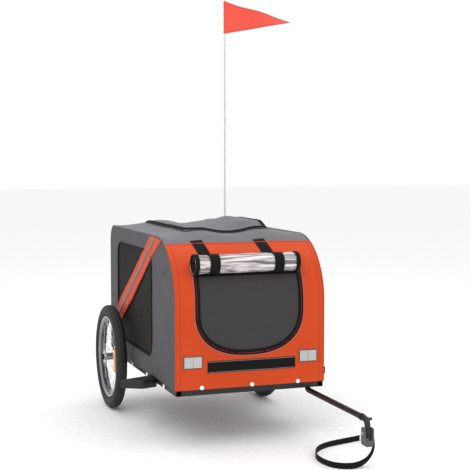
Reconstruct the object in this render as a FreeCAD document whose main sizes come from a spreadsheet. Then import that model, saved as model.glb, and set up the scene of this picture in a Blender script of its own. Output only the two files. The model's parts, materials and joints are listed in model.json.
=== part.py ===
"""Two-wheeled bicycle trailer with a low fabric cabin, a drawbar and a safety flag.

Trailer axes: x runs across (positive towards the drawbar side), y runs back from
the front face and z runs up from the ground. Each finished piece is then placed so
that the origin is the middle of the underside of the whole trailer.
"""
import FreeCAD, Part
import math
import os

V = FreeCAD.Vector
X_AXIS, Y_AXIS, Z_AXIS = V(1, 0, 0), V(0, 1, 0), V(0, 0, 1)

# Driving sizes in millimetres and degrees.
DRIVING = {
    "cabin_width": 538, "cabin_length": 932, "roof_top": 709, "cloth": 2,
    "front_round": 222, "rear_round": 60, "cloth_foot": 207, "seam_setback": 125,
    "rail_tall": 30, "rail_wide": 20, "rail_wall": 2, "hoop_tube": 16,
    "wheel_diameter": 405, "tyre_section": 46, "track": 634, "axle_setback": 741,
    "axle_diameter": 12.7, "spoke_count": 28, "spoke_diameter": 1.8,
    "drawbar_tube": 19, "drawbar_x": 228, "pivot_setback": 50, "drawbar_reach": 480,
    "drawbar_level": 170, "coupler_wide": 33, "coupler_deep": 26, "coupler_tall": 62,
    "guard_reach": 126, "flag_pole": 7, "flag_x": 229, "flag_top": 1642, "flag_drop": 135,
    "flag_fly": 303, "window_front": 290, "window_rear": 800, "window_low": 275,
    "window_high": 650, "strap_width": 20, "running_gap": 0.05, "seat_gap": 0.3,
}


def derive(d):
    """Adds the sizes that follow from the driving ones."""
    s = dict(d)
    s["half_cloth"] = s["cabin_width"] / 2
    s["half_cabin"] = s["half_cloth"] - s["cloth"]
    s["wheel_z"] = s["wheel_diameter"] / 2
    s["wheel_x"] = s["track"] / 2
    s["tyre_r"] = s["tyre_section"] / 2
    s["ring_r"] = s["wheel_z"] - s["tyre_r"]
    s["rail_low"] = s["wheel_z"] - s["rail_tall"] / 2
    s["rail_top"] = s["wheel_z"] + s["rail_tall"] / 2
    s["rail_inner"] = s["half_cabin"] - s["rail_wide"]
    s["flag_y"] = s["cabin_length"] + 14
    s["hoop_inset"] = s["cloth"] + s["hoop_tube"] / 2 + 0.5
    s["hoop_x"] = s["half_cabin"] - s["hoop_tube"] / 2 - 0.5
    s["coupler_y"] = s["pivot_setback"] - s["drawbar_reach"]
    s["coupler_pin_z"] = s["drawbar_level"] - 42
    s["right_edge"] = -(s["half_cabin"] + s["guard_reach"] + 2)
    s["left_edge"] = s["flag_x"] + s["flag_fly"]
    s["centre_x"] = (s["right_edge"] + s["left_edge"]) / 2
    s["front_edge"] = s["coupler_y"] - s["coupler_deep"] / 2
    s["rear_edge"] = s["flag_y"] + 12
    s["centre_y"] = (s["front_edge"] + s["rear_edge"]) / 2
    return s


S = derive(DRIVING)
doc = FreeCAD.newDocument("BicycleTrailer")
sheet = doc.addObject("Spreadsheet::Sheet", "Sizes")
for row, (alias, value) in enumerate(S.items(), start=1):
    sheet.set("A%d" % row, alias)
    sheet.set("B%d" % row, str(value))
    sheet.setAlias("B%d" % row, alias)
doc.recompute()
PIECES = []


def bind(obj, **formulas):
    """Binds an object's sizes to the sheet; words in a formula are sheet aliases."""
    for prop, formula in formulas.items():
        text = str(formula)
        for alias in sorted(S, key=len, reverse=True):
            text = text.replace(alias, "\0%d\0" % list(S).index(alias))
        for index, alias in enumerate(S):
            text = text.replace("\0%d\0" % index, "Sizes." + alias)
        obj.setExpression(prop.replace("__", "."), text)
    return obj


def box(x, y, z, length, width, height):
    """A box from its lowest corner and its three sizes, all given as formulas."""
    obj = doc.addObject("Part::Box", "Box")
    bind(obj, Length=length, Width=width, Height=height)
    return bind(obj, Placement__Base__x=x, Placement__Base__y=y, Placement__Base__z=z)


def rod(x, y, z, radius, height, axis=Z_AXIS):
    """A cylinder from the middle of its first end, along an axis."""
    obj = doc.addObject("Part::Cylinder", "Rod")
    obj.Placement = FreeCAD.Placement(V(), FreeCAD.Rotation(Z_AXIS, axis))
    bind(obj, Radius=radius, Height=height)
    return bind(obj, Placement__Base__x=x, Placement__Base__y=y, Placement__Base__z=z)


def cut(base, *tools):
    """The base without its tools."""
    for tool in tools:
        result = doc.addObject("Part::Cut", "Cut")
        result.Base = base
        result.Tool = tool
        base = result
    return base


def fuse(*parts):
    """The parts as one solid."""
    result = doc.addObject("Part::MultiFuse", "Fuse")
    result.Shapes = list(parts)
    return result


def group(*parts):
    """Several equal pieces under one name."""
    result = doc.addObject("Part::Compound", "Group")
    result.Links = list(parts)
    return result


def shape(solid):
    """A feature for a swept, bent or patterned piece."""
    obj = doc.addObject("Part::Feature", "Shape")
    obj.Shape = solid
    return obj


def piece(name, obj):
    """Names a finished piece and places it in the trailer's frame."""
    obj.Label = name
    if obj.isDerivedFrom("Part::Box") or obj.isDerivedFrom("Part::Cylinder"):
        obj = group(obj)
        obj.Label = name
        obj.Links[0].Label = name + "_blank"
    bind(obj, Placement__Base__x="-centre_x", Placement__Base__y="-centre_y")
    PIECES.append((name, obj))
    return obj


def body_of(name, points, plane, feature, **formulas):
    """A PartDesign body from one closed sketch, padded or revolved."""
    body = doc.addObject("PartDesign::Body", name)
    sketch = body.newObject("Sketcher::SketchObject", name + "_outline")
    role = [f for f in body.Origin.OriginFeatures if f.Role == plane][0]
    sketch.AttachmentSupport = [(role, "")]
    sketch.MapMode = "FlatFace"
    ends = points[1:] + points[:1]
    for start, end in zip(points, ends):
        sketch.addGeometry(Part.LineSegment(V(*start, 0), V(*end, 0)), False)
    solid = body.newObject("PartDesign::" + feature, name + "_solid")
    solid.Profile = sketch
    if feature == "Revolution":
        solid.ReferenceAxis = (sketch, ["H_Axis"])
        solid.Angle = 360
    else:
        bind(solid, **formulas)
    body.Tip = solid
    doc.recompute()
    return body


def spun(name, points, side):
    """A body of revolution about the axle, from (distance out, radius) points."""
    body = body_of(name, [(side * x, r) for x, r in points], "XY_Plane", "Revolution")
    body.Placement = FreeCAD.Placement(V(0, S["axle_setback"], S["wheel_z"]), FreeCAD.Rotation())
    return body


def place_body(name, body):
    """Places a body of revolution in the trailer's frame with its axle height."""
    body.Label = name
    bind(body, Placement__Base__x="-centre_x", Placement__Base__y="axle_setback - centre_y",
         Placement__Base__z="wheel_z")
    PIECES.append((name, body))


def rounded_path(points, radii):
    """Straight runs joined by tangent arcs, one radius for each inner point."""
    edges = []
    start = points[0]
    for before, corner, after, radius in zip(points, points[1:], points[2:], radii):
        arriving = (corner - before).normalize()
        leaving = (after - corner).normalize()
        half = arriving.getAngle(leaving) / 2
        reach = radius * math.tan(half)
        first = corner - arriving * reach
        last = corner + leaving * reach
        inward = (leaving - arriving).normalize()
        middle = corner + inward * (radius / math.cos(half) - radius)
        edges.append(Part.LineSegment(start, first).toShape())
        edges.append(Part.Arc(first, middle, last).toShape())
        start = last
    edges.append(Part.LineSegment(start, points[-1]).toShape())
    return Part.Wire(edges)


def tube_along(path, radius):
    """A round bar swept along a path."""
    first = path.OrderedEdges[0]
    heading = first.tangentAt(first.FirstParameter)
    circle = Part.makeCircle(radius, first.valueAt(first.FirstParameter), heading)
    shell = Part.BRepOffsetAPI.MakePipeShell(path)
    shell.add(Part.Wire(circle))
    shell.build()
    shell.makeSolid()
    return shell.shape()


def side_outline(inset):
    """The cabin's closed side outline in the y-z plane, set in by a distance."""
    top, rear = S["roof_top"] - inset, S["cabin_length"] - inset
    front_r, rear_r = S["front_round"] - inset, S["rear_round"] - inset
    low, half = S["cloth_foot"], math.sqrt(0.5)
    fy, fz = S["front_round"], S["roof_top"] - S["front_round"]
    ry, rz = S["cabin_length"] - S["rear_round"], S["roof_top"] - S["rear_round"]
    return Part.Wire([
        Part.LineSegment(V(0, inset, low), V(0, inset, fz)).toShape(),
        Part.Arc(V(0, inset, fz), V(0, fy - front_r * half, fz + front_r * half), V(0, fy, top)).toShape(),
        Part.LineSegment(V(0, fy, top), V(0, ry, top)).toShape(),
        Part.Arc(V(0, ry, top), V(0, ry + rear_r * half, rz + rear_r * half), V(0, rear, rz)).toShape(),
        Part.LineSegment(V(0, rear, rz), V(0, rear, low)).toShape(),
        Part.LineSegment(V(0, rear, low), V(0, inset, low)).toShape(),
    ])


def slab(inset, half_width):
    """The cabin's outline made solid across the trailer."""
    face = Part.Face(side_outline(inset))
    face.translate(V(-half_width, 0, 0))
    return face.extrude(V(2 * half_width, 0, 0))


def cuboid(x0, x1, y0, y1, z0, z1):
    """A plain block between two corners."""
    return Part.makeBox(x1 - x0, y1 - y0, z1 - z0, V(x0, y0, z0))


def door_cutter(grow):
    """A prism of the front window's outline: a straight top on a round bowl."""
    top = 596 + grow
    left, right, low = -193 - grow, 184 + grow, 323 - grow
    wide = (right - left) / 2
    middle = (left + right) / 2
    round_z = 470
    wire = Part.Wire([
        Part.LineSegment(V(left, 0, top), V(right, 0, top)).toShape(),
        Part.LineSegment(V(right, 0, top), V(right, 0, round_z)).toShape(),
        Part.Arc(V(right, 0, round_z), V(middle + wide * 0.70, 0, round_z - (round_z - low) * 0.74),
                 V(middle, 0, low)).toShape(),
        Part.Arc(V(middle, 0, low), V(middle - wide * 0.70, 0, round_z - (round_z - low) * 0.74),
                 V(left, 0, round_z)).toShape(),
        Part.LineSegment(V(left, 0, round_z), V(left, 0, top)).toShape(),
    ])
    face = Part.Face(wire)
    face.translate(V(0, -50, 0))
    return face.extrude(V(0, 170, 0))


def make_base():
    """Rails, floor board and mat."""
    for name, x in (("base_rail_right", "-half_cabin"), ("base_rail_left", "rail_inner")):
        outer = box(x, "rail_wall", "rail_low", "rail_wide", "cabin_length - 2 * rail_wall", "rail_tall")
        hollow = box(x + " + rail_wall", "0", "rail_low + rail_wall", "rail_wide - 2 * rail_wall",
                     "cabin_length", "rail_tall - 2 * rail_wall")
        bore = rod(x, "axle_setback", "wheel_z", "8.5", "rail_wide", X_AXIS)
        piece(name, cut(outer, hollow, bore))
    for name, y in (("base_rail_front", "rail_wall"), ("base_rail_rear", "cabin_length - 22")):
        outer = box("-rail_inner", y, "rail_low", "2 * rail_inner", "rail_wide", "rail_tall")
        hollow = box("-rail_inner", y + " + rail_wall", "rail_low + rail_wall", "2 * rail_inner",
                     "rail_wide - 2 * rail_wall", "rail_tall - 2 * rail_wall")
        piece(name, cut(outer, hollow))
    piece("floor_board", box("-half_cabin + 18", "4", "rail_top", "2 * half_cabin - 36",
                             "cabin_length - 8", "6"))
    piece("floor_mat", box("-240", "24", "rail_top + 6 + seat_gap", "480", "cabin_length - 48", "8"))


def hoop_path(x):
    """The centre line of one side hoop."""
    inset = S["hoop_inset"]
    top, rear = S["roof_top"] - inset, S["cabin_length"] - inset
    points = [V(x, inset, S["rail_top"]), V(x, inset, top), V(x, rear, top), V(x, rear, S["rail_top"])]
    return rounded_path(points, [S["front_round"] - inset, S["rear_round"] - inset])


def make_frame():
    """Two bent side hoops and the bars between them."""
    hoops = {}
    for name, x in (("frame_hoop_right", -S["hoop_x"]), ("frame_hoop_left", S["hoop_x"])):
        hoops[name] = tube_along(hoop_path(x), S["hoop_tube"] / 2)
        piece(name, shape(hoops[name]))
    bars = []
    for y in (S["front_round"], S["cabin_length"] - 102):
        at = V(-S["hoop_x"], y, S["roof_top"] - S["hoop_inset"])
        bar = Part.makeCylinder(S["hoop_tube"] / 2, 2 * S["hoop_x"], at, X_AXIS)
        bars.append(bar.cut(list(hoops.values())))
    piece("frame_crossbars", shape(Part.makeCompound(bars)))


def make_cloth():
    """The cabin's cloth panels with their openings."""
    half, seam, long_y = S["half_cabin"], S["seam_setback"], S["cabin_length"]
    skin = slab(0, half).cut(slab(S["cloth"], half + 1))
    low_skin = cuboid(-half, half, S["cloth"], long_y - S["cloth"], 0, S["cloth_foot"] + S["cloth"] + 1)
    skin = skin.cut(low_skin)
    rear_z = S["roof_top"] - S["rear_round"]
    front_zone = cuboid(-half, half, -1, seam, 0, 800)
    rear_zone = cuboid(-half, half, long_y - S["cloth"], long_y + 1, 0, rear_z)
    front = skin.common(front_zone)
    piece("front_panel", shape(front.cut(door_cutter(0))))
    roof = skin.cut(front_zone).cut(rear_zone)
    piece("roof_panel", shape(roof.cut(cuboid(-150, 150, 250, 790, 600, 800))))
    rear = skin.common(rear_zone)
    piece("rear_panel", shape(rear.cut(cuboid(-165, 165, long_y - 10, long_y + 10, 245, 640))))
    piece("front_door", shape(front.common(door_cutter(-S["seat_gap"]))))
    piece("rear_door", box("-175", "cabin_length + seat_gap", "235", "350", "cloth", "415"))
    piece("roof_hatch", box("-160", "240", "roof_top + seat_gap", "320", "560", "cloth"))
    window = cuboid(-300, 300, S["window_front"], S["window_rear"], S["window_low"], S["window_high"])
    window = window.makeFillet(45, [e for e in window.Edges if abs(e.tangentAt(0).x) > 0.9])
    axle_hole = Part.makeCylinder(8.7, 600, V(-300, S["axle_setback"], S["wheel_z"]), X_AXIS)
    sheets = slab(0, S["half_cloth"]).cut(slab(-1, half))
    for name, side in (("right", -1), ("left", 1)):
        zone = cuboid(min(0, side * 300), max(0, side * 300), -5, long_y + 5, 0, 800)
        panel = sheets.common(zone)
        piece("side_panel_" + name, shape(panel.cut([window, axle_hole])))
        piece("side_mesh_" + name, shape(panel.common(window)))
        piece("strap_band_" + name, shape(strap_band(side)))


def strap_band(side):
    """The slanting strap on one side, from the roof seam down to the rear wheel."""
    low_edge = [V(0, 190, 688), V(0, 293, 626), V(0, 571, 446), V(0, 800, 315)]
    high_edge = [V(0, 838, 372), V(0, 768, 424), V(0, 332, 690)]
    points = low_edge + high_edge
    face = Part.Face(Part.makePolygon(points + points[:1]))
    face.translate(V(side * S["half_cloth"], 0, 0))
    return face.extrude(V(side * S["cloth"], 0, 0))


def make_front_trim():
    """The rolled rain cover with its straps, the reflectors, the hook strip and the snaps."""
    angle = math.radians(33.7)
    reach = S["front_round"] + 33 + S["seat_gap"]
    y = S["front_round"] - reach * math.cos(angle)
    z = S["roof_top"] - S["front_round"] + reach * math.sin(angle)
    roll = Part.makeCylinder(33, 377, V(-205, y, z), X_AXIS)
    piece("rain_cover_roll", shape(roll))
    loops = []
    for x in (-152, 78):
        band = Part.makeCylinder(34.5, 35, V(x, y, z), X_AXIS)
        tab = slab(-1.5, S["half_cabin"]).common(cuboid(x, x + 35, -20, 150, z - 30, 690))
        loops.append(band.fuse(tab).cut([roll, slab(0, S["half_cabin"])]))
    piece("roll_straps", shape(Part.makeCompound(loops)))
    reflectors = [box(x, "-3", "279", "67", "3", "43") for x in ("-242", "175")]
    piece("panel_reflectors", group(*reflectors))
    piece("hook_strip", box("-157", "-cloth", "260", "318", "cloth", "42"))
    snaps = [rod(x, "-4", "213", "7.5", "4", Y_AXIS) for x in ("-177", "3", "172")]
    for x in ("-half_cabin - 4", "half_cabin"):
        for y in ("149", "375", "590"):
            snaps.append(rod(x, y, "rail_low + 8", "7.5", "4", X_AXIS))
    piece("snap_buttons", group(*snaps))


def make_wheel(name, side):
    """One spoked wheel, its axle and its receiver."""
    x, ring, tread = S["wheel_x"], S["ring_r"], S["tyre_r"]
    at = V(side * x, S["axle_setback"], S["wheel_z"])
    hull = Part.makeTorus(ring, tread, at, X_AXIS)
    bore = Part.makeTorus(ring, tread - 3.5, at, X_AXIS)
    well = Part.makeCylinder(ring - 20.9, 60, at - X_AXIS * 30, X_AXIS)
    slot = Part.makeCylinder(ring, 22, at - X_AXIS * 11, X_AXIS)
    beads = [Part.makeCylinder(ring - 13, 1.9, at + X_AXIS * start, X_AXIS) for start in (-12.9, 11)]
    beads = [bead.cut(Part.makeCylinder(ring - 27, 60, at - X_AXIS * 30, X_AXIS)) for bead in beads]
    piece("tyre_" + name, shape(hull.cut([bore, well, slot]).fuse(beads)))
    tube = Part.makeTorus(ring, tread - 3.7, at, X_AXIS)
    piece("inner_tube_" + name, shape(tube.cut(Part.makeCylinder(ring - 12.5, 60, at - X_AXIS * 30, X_AXIS))))
    flange, bed, base = ring - 21, ring - 29.5, ring - 33.5
    rim = [(x - 15, base + 4), (x - 9, base), (x + 9, base), (x + 15, base + 4), (x + 15, flange),
           (x + 13, flange), (x + 13, bed + 2), (x + 8, bed), (x - 8, bed), (x - 13, bed + 2),
           (x - 13, flange), (x - 15, flange)]
    place_body("rim_" + name, spun("rim_" + name, rim, side))
    hub = [(x - 29, 14), (x - 26, 14), (x - 26, 24), (x - 23, 24), (x - 23, 14), (x + 23, 14), (x + 23, 24),
           (x + 26, 24), (x + 26, 14), (x + 29, 14), (x + 29, 11), (x + 21, 11), (x + 21, 8), (x - 21, 8),
           (x - 21, 11), (x - 29, 11)]
    place_body("hub_" + name, spun("hub_" + name, hub, side))
    bore_r = S["axle_diameter"] / 2 + S["running_gap"]
    races = [annulus(side * start, side, 8, 11, bore_r) for start in (x - 29, x + 21)]
    piece("wheel_bearings_" + name, shape(Part.makeCompound(races)))
    piece("spokes_" + name, shape(Part.makeCompound(spokes(side, base))))
    plate = cuboid(-4, 4, -118, -88, -43, 43)
    plate.translate(at + V(side * 9, 0, 0))
    piece("spoke_reflector_" + name, shape(plate.cut(Part.makeCompound(spokes(side, base)))))
    half = S["axle_diameter"] / 2
    pin = [(235, 0), (235, half), (273, half), (273, 10), (x - 29.5, 10), (x - 29.5, half), (x + 29.5, half),
           (x + 29.5, 9), (x + 39, 9), (x + 39, 3 + S["running_gap"]), (x + 25, 3 + S["running_gap"]), (x + 25, 0)]
    place_body("axle_" + name, spun("axle_" + name, pin, side))
    button = Part.makeCylinder(3, 8, V(side * (x + 33), at.y, at.z), X_AXIS * side)
    piece("quick_release_button_" + name, shape(button))
    inner = S["rail_inner"]
    sleeve = [(inner, half), (inner, 8.5), (S["half_cloth"], 8.5), (S["half_cloth"], 15),
              (273, 15), (273, half)]
    place_body("axle_receiver_" + name, spun("axle_receiver_" + name, sleeve, side))
    make_guard(name, side)


def annulus(x, side, length, outer, inner):
    """A ring about the axle."""
    at = V(x, S["axle_setback"], S["wheel_z"])
    ring = Part.makeCylinder(outer, length, at, X_AXIS * side)
    return ring.cut(Part.makeCylinder(inner, length, at, X_AXIS * side))


def spokes(side, base):
    """Spokes laced from both hub flanges to the rim, crossing by turns."""
    rods = []
    count = int(S["spoke_count"])
    centre = V(side * S["wheel_x"], S["axle_setback"], S["wheel_z"])
    for index in range(count):
        flange = 24.5 if index % 2 else -24.5
        lean = math.radians(42 if index // 2 % 2 else -42)
        around = 2 * math.pi * index / count
        foot = centre + V(flange, 21.5 * math.cos(around + lean), 21.5 * math.sin(around + lean))
        head = centre + V(flange * 0.08, (base + 0.5) * math.cos(around), (base + 0.5) * math.sin(around))
        rods.append(Part.makeCylinder(S["spoke_diameter"] / 2, (head - foot).Length, foot, head - foot))
    return rods


def make_guard(name, side):
    """The bumper arm on the base rail in front of one wheel."""
    out, near = S["half_cabin"] + S["guard_reach"], S["half_cabin"]
    points = [(near, 238), (near + 58, 219), (out - 30, 240), (out - 4, 256), (out + 2, 264), (out - 18, 272),
              (near + 35, 301), (near, 321)]
    points = [(side * px, py) for px, py in points]
    if side < 0:
        points.reverse()
    guard = body_of("wheel_guard_" + name, points, "XY_Plane", "Pad", Length="rail_tall")
    guard.Label = "wheel_guard_" + name
    bind(guard, Placement__Base__x="-centre_x", Placement__Base__y="-centre_y",
         Placement__Base__z="rail_low - 12.5")
    PIECES.append(("wheel_guard_" + name, guard))


def drawbar_points():
    """The corner points of the drawbar's centre line."""
    x, level = S["drawbar_x"], S["drawbar_level"]
    return [V(x, S["pivot_setback"], 211.3), V(x, S["pivot_setback"], level), V(x, S["coupler_y"], level),
            V(x, S["coupler_y"], S["coupler_pin_z"] - 17)]


def make_drawbar():
    """The drawbar, its socket, the coupler and the strap clip."""
    x, pin_z, y = "drawbar_x", "coupler_pin_z", "coupler_y"
    plate = box("drawbar_x - 25", "22", "196", "rail_inner - drawbar_x + 25", "44", "10")
    socket = rod(x, "pivot_setback", "189.5", "13.5", "21.5")
    bore = rod(x, "pivot_setback", "180", "drawbar_tube / 2 + running_gap", "40")
    piece("drawbar_bracket", cut(fuse(plate, socket), bore))
    path = rounded_path(drawbar_points(), [19, 24])
    outer = tube_along(path, S["drawbar_tube"] / 2)
    inner = tube_along(path, S["drawbar_tube"] / 2 - 2)
    pin = Part.makeCylinder(3 + S["running_gap"], 60, V(S["drawbar_x"] - 30, S["coupler_y"], S["coupler_pin_z"]), X_AXIS)
    piece("drawbar_tube", shape(outer.cut([inner, pin])))
    piece("drawbar_pivot_cap", rod(x, "pivot_setback", "rail_top - 6.2", "12.5", "4"))
    ring = rod(x, "coupler_y + 34", "drawbar_level", "11.5", "12", Y_AXIS)
    lug = box("drawbar_x + 9", "coupler_y + 34", "158", "24", "12", "7")
    hole = rod(x, "coupler_y + 20", "drawbar_level", "drawbar_tube / 2", "40", Y_AXIS)
    piece("strap_clip", cut(fuse(ring, lug), hole))
    half_wide, half_deep = S["coupler_wide"] / 2, S["coupler_deep"] / 2
    body = cuboid(S["drawbar_x"] - half_wide, S["drawbar_x"] + half_wide, S["coupler_y"] - half_deep,
                  S["coupler_y"] + half_deep, 86, 86 + S["coupler_tall"])
    block = shape(body.makeFillet(11, [e for e in body.Edges if abs(e.tangentAt(0).y) > 0.9]))
    slot = box("drawbar_x - 11.5", "coupler_y - coupler_deep", "106", "23", "2 * coupler_deep", "coupler_tall")
    hitch = rod("drawbar_x - coupler_wide", y, "95.5", "4.1", "2 * coupler_wide", X_AXIS)
    pin_hole = rod("drawbar_x - coupler_wide", y, pin_z, "3", "2 * coupler_wide", X_AXIS)
    piece("coupler_block", cut(block, slot, hitch, pin_hole))
    shank = rod("drawbar_x - 19", y, pin_z, "3", "38", X_AXIS)
    heads = [rod("drawbar_x - 19", y, pin_z, "5", "2.5", X_AXIS), rod("drawbar_x + 16.5", y, pin_z, "5", "2.5", X_AXIS)]
    piece("coupler_pin", fuse(shank, *heads))


def strap_points():
    """The safety strap's route from its lug down to the floor and round to its ring."""
    floor = S["strap_width"] / 2
    lug = V(S["drawbar_x"] + 24, S["coupler_y"] + 40, 158)
    return [lug, lug + V(0, 0, -20), V(266, -388, 112), V(275, -382, 80), V(276, -370, 48), V(262, -362, 24),
            V(236, -366, floor + 2), V(205, -374, floor), V(172, -364, floor), V(148, -336, floor),
            V(138, -292, floor), V(138, -246, floor), V(152, -198, floor), V(176, -156, floor),
            V(210, -122, floor), V(252, -100, floor), V(298, -86, floor), V(342, -74, floor), V(380, -62, floor)]


def make_strap():
    """The safety strap as a plain round tube, with its end ring."""
    points = strap_points()
    radii = []
    for before, corner, after in zip(points, points[1:], points[2:]):
        run = min((corner - before).Length, (after - corner).Length)
        half = (corner - before).getAngle(after - corner) / 2
        radii.append(0.45 * run / math.tan(half))
    print("strap arc radii", [round(r) for r in radii])
    path = rounded_path(points, radii)
    strap = tube_along(path, S["strap_width"] / 2)
    expected = math.pi * (S["strap_width"] / 2) ** 2 * path.Length
    print("strap length %.0f, volume against section times length %.4f" % (path.Length, strap.Volume / expected))
    piece("safety_strap", shape(strap))
    end, along = points[-1], (points[-1] - points[-2]).normalize()
    ring = Part.makeCylinder(S["strap_width"] / 2, 8, end, along)
    piece("strap_ring", shape(ring))


def make_flag():
    """The flag's holder, pole and pennant."""
    low = box("flag_x - 12", "cabin_length", "192", "24", "26", "70")
    loop = box("flag_x - 10", "cabin_length", "600", "20", "24", "40")
    bore = rod("flag_x", "flag_y", "200", "flag_pole / 2 + running_gap", "500")
    piece("flag_holders", group(cut(low, bore), cut(loop, bore)))
    pole = rod("flag_x", "flag_y", "200.5", "flag_pole / 2", "flag_top - 200.5")
    piece("flag_pole", pole)
    x, y, top, half = S["flag_x"] + S["flag_pole"] / 2, S["flag_y"], S["flag_top"] - 3, S["cloth"] / 2
    points = [V(x, y - half, top), V(x, y - half, top - S["flag_drop"]), V(S["left_edge"], y - half, top - 76)]
    pennant = Part.Face(Part.makePolygon(points + points[:1])).extrude(V(0, S["cloth"], 0))
    piece("flag_pennant", shape(pennant))


def export():
    """Checks every object and writes each piece to its own file."""
    doc.recompute()
    broken = [o.Name for o in doc.Objects if "Invalid" in o.State or "Error" in o.State]
    if broken:
        raise RuntimeError("failed objects: %s" % broken)
    os.makedirs("parts", exist_ok=True)
    for name, obj in PIECES:
        if obj.Shape.isNull() or not obj.Shape.isValid() or obj.Shape.Volume <= 0:
            raise RuntimeError("bad shape: " + name)
        obj.Shape.exportStep("parts/%s.step" % name)
    print(len(PIECES), "pieces written")


make_base()
make_frame()
make_cloth()
make_front_trim()
make_wheel("right", -1)
make_wheel("left", 1)
make_drawbar()
make_strap()
make_flag()
export()
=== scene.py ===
"""Bicycle trailer with a low cloth cabin: cloth, webbing, wheels, drawbar and flag."""
import json
import logging
import math
from dataclasses import dataclass, field
from enum import Enum
from typing import Callable, Optional, Sequence

import bpy
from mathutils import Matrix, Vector

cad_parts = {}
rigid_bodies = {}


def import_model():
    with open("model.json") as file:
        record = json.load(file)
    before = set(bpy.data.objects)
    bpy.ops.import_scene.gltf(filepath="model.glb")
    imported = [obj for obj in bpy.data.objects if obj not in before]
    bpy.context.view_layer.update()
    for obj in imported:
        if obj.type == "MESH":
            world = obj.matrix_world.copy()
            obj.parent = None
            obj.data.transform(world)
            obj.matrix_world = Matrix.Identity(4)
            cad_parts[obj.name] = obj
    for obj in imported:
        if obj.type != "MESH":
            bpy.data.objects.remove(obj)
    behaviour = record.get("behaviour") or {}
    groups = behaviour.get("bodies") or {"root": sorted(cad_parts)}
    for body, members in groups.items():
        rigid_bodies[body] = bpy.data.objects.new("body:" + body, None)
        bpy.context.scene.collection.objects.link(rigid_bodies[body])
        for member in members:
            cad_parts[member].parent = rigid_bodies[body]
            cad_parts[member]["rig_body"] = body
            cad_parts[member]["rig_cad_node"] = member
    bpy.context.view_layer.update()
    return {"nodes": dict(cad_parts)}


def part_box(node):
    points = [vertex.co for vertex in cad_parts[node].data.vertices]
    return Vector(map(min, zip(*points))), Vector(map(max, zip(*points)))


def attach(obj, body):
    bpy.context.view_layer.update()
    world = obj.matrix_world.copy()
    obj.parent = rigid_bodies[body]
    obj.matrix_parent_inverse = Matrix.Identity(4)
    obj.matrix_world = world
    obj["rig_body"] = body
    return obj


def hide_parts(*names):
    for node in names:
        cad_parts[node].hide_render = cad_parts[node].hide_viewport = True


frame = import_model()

LOG = logging.getLogger("trailer")
MM = 0.001
TAU = 2 * math.pi
# Walls in mm: cloth and webbing, window mesh, pennant cloth and the padded mat's cover.
CLOTH_THICK = 1.6
MESH_THICK = 0.6
PENNANT_THICK = 0.8
MAT_THICK = 2.8
Place = Callable[[float, float], Vector]
Route = Callable[[float], Vector]


# ---------------------------------------------------------------- places and sizes
PANEL_LOW, PANEL_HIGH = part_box("front_panel")
SHIFT = Vector(((PANEL_LOW.x + PANEL_HIGH.x) / 2, PANEL_LOW.y, 0))


def at(x: float, y: float, z: float) -> Vector:
    """A place in metres from trailer millimetres: x from the middle, y from the front, z up."""
    return Vector((x * MM, y * MM, z * MM)) + SHIFT


def about_x(turn: float) -> Vector:
    """The direction at an angle round the x axis, from y towards z."""
    return Vector((0, math.cos(turn), math.sin(turn)))


def smooth(low: float, high: float, value: float) -> float:
    """Eases from 0 at low to 1 at high."""
    t = min(1.0, max(0.0, (value - low) / (high - low)))
    return t * t * (3 - 2 * t)


def ripple(a: float, b: float, seed: float = 0.0) -> float:
    """A soft, uneven wave from -1 to 1 over a surface, the same on each run."""
    return (math.sin(a * 1.7 + seed) * math.cos(b * 1.3 - seed * 2)
            + 0.5 * math.sin(a * 3.1 - b * 2.3 + seed * 3)
            + 0.25 * math.sin(a * 6.3 + b * 5.1 + seed * 5)) / 1.75


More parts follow.
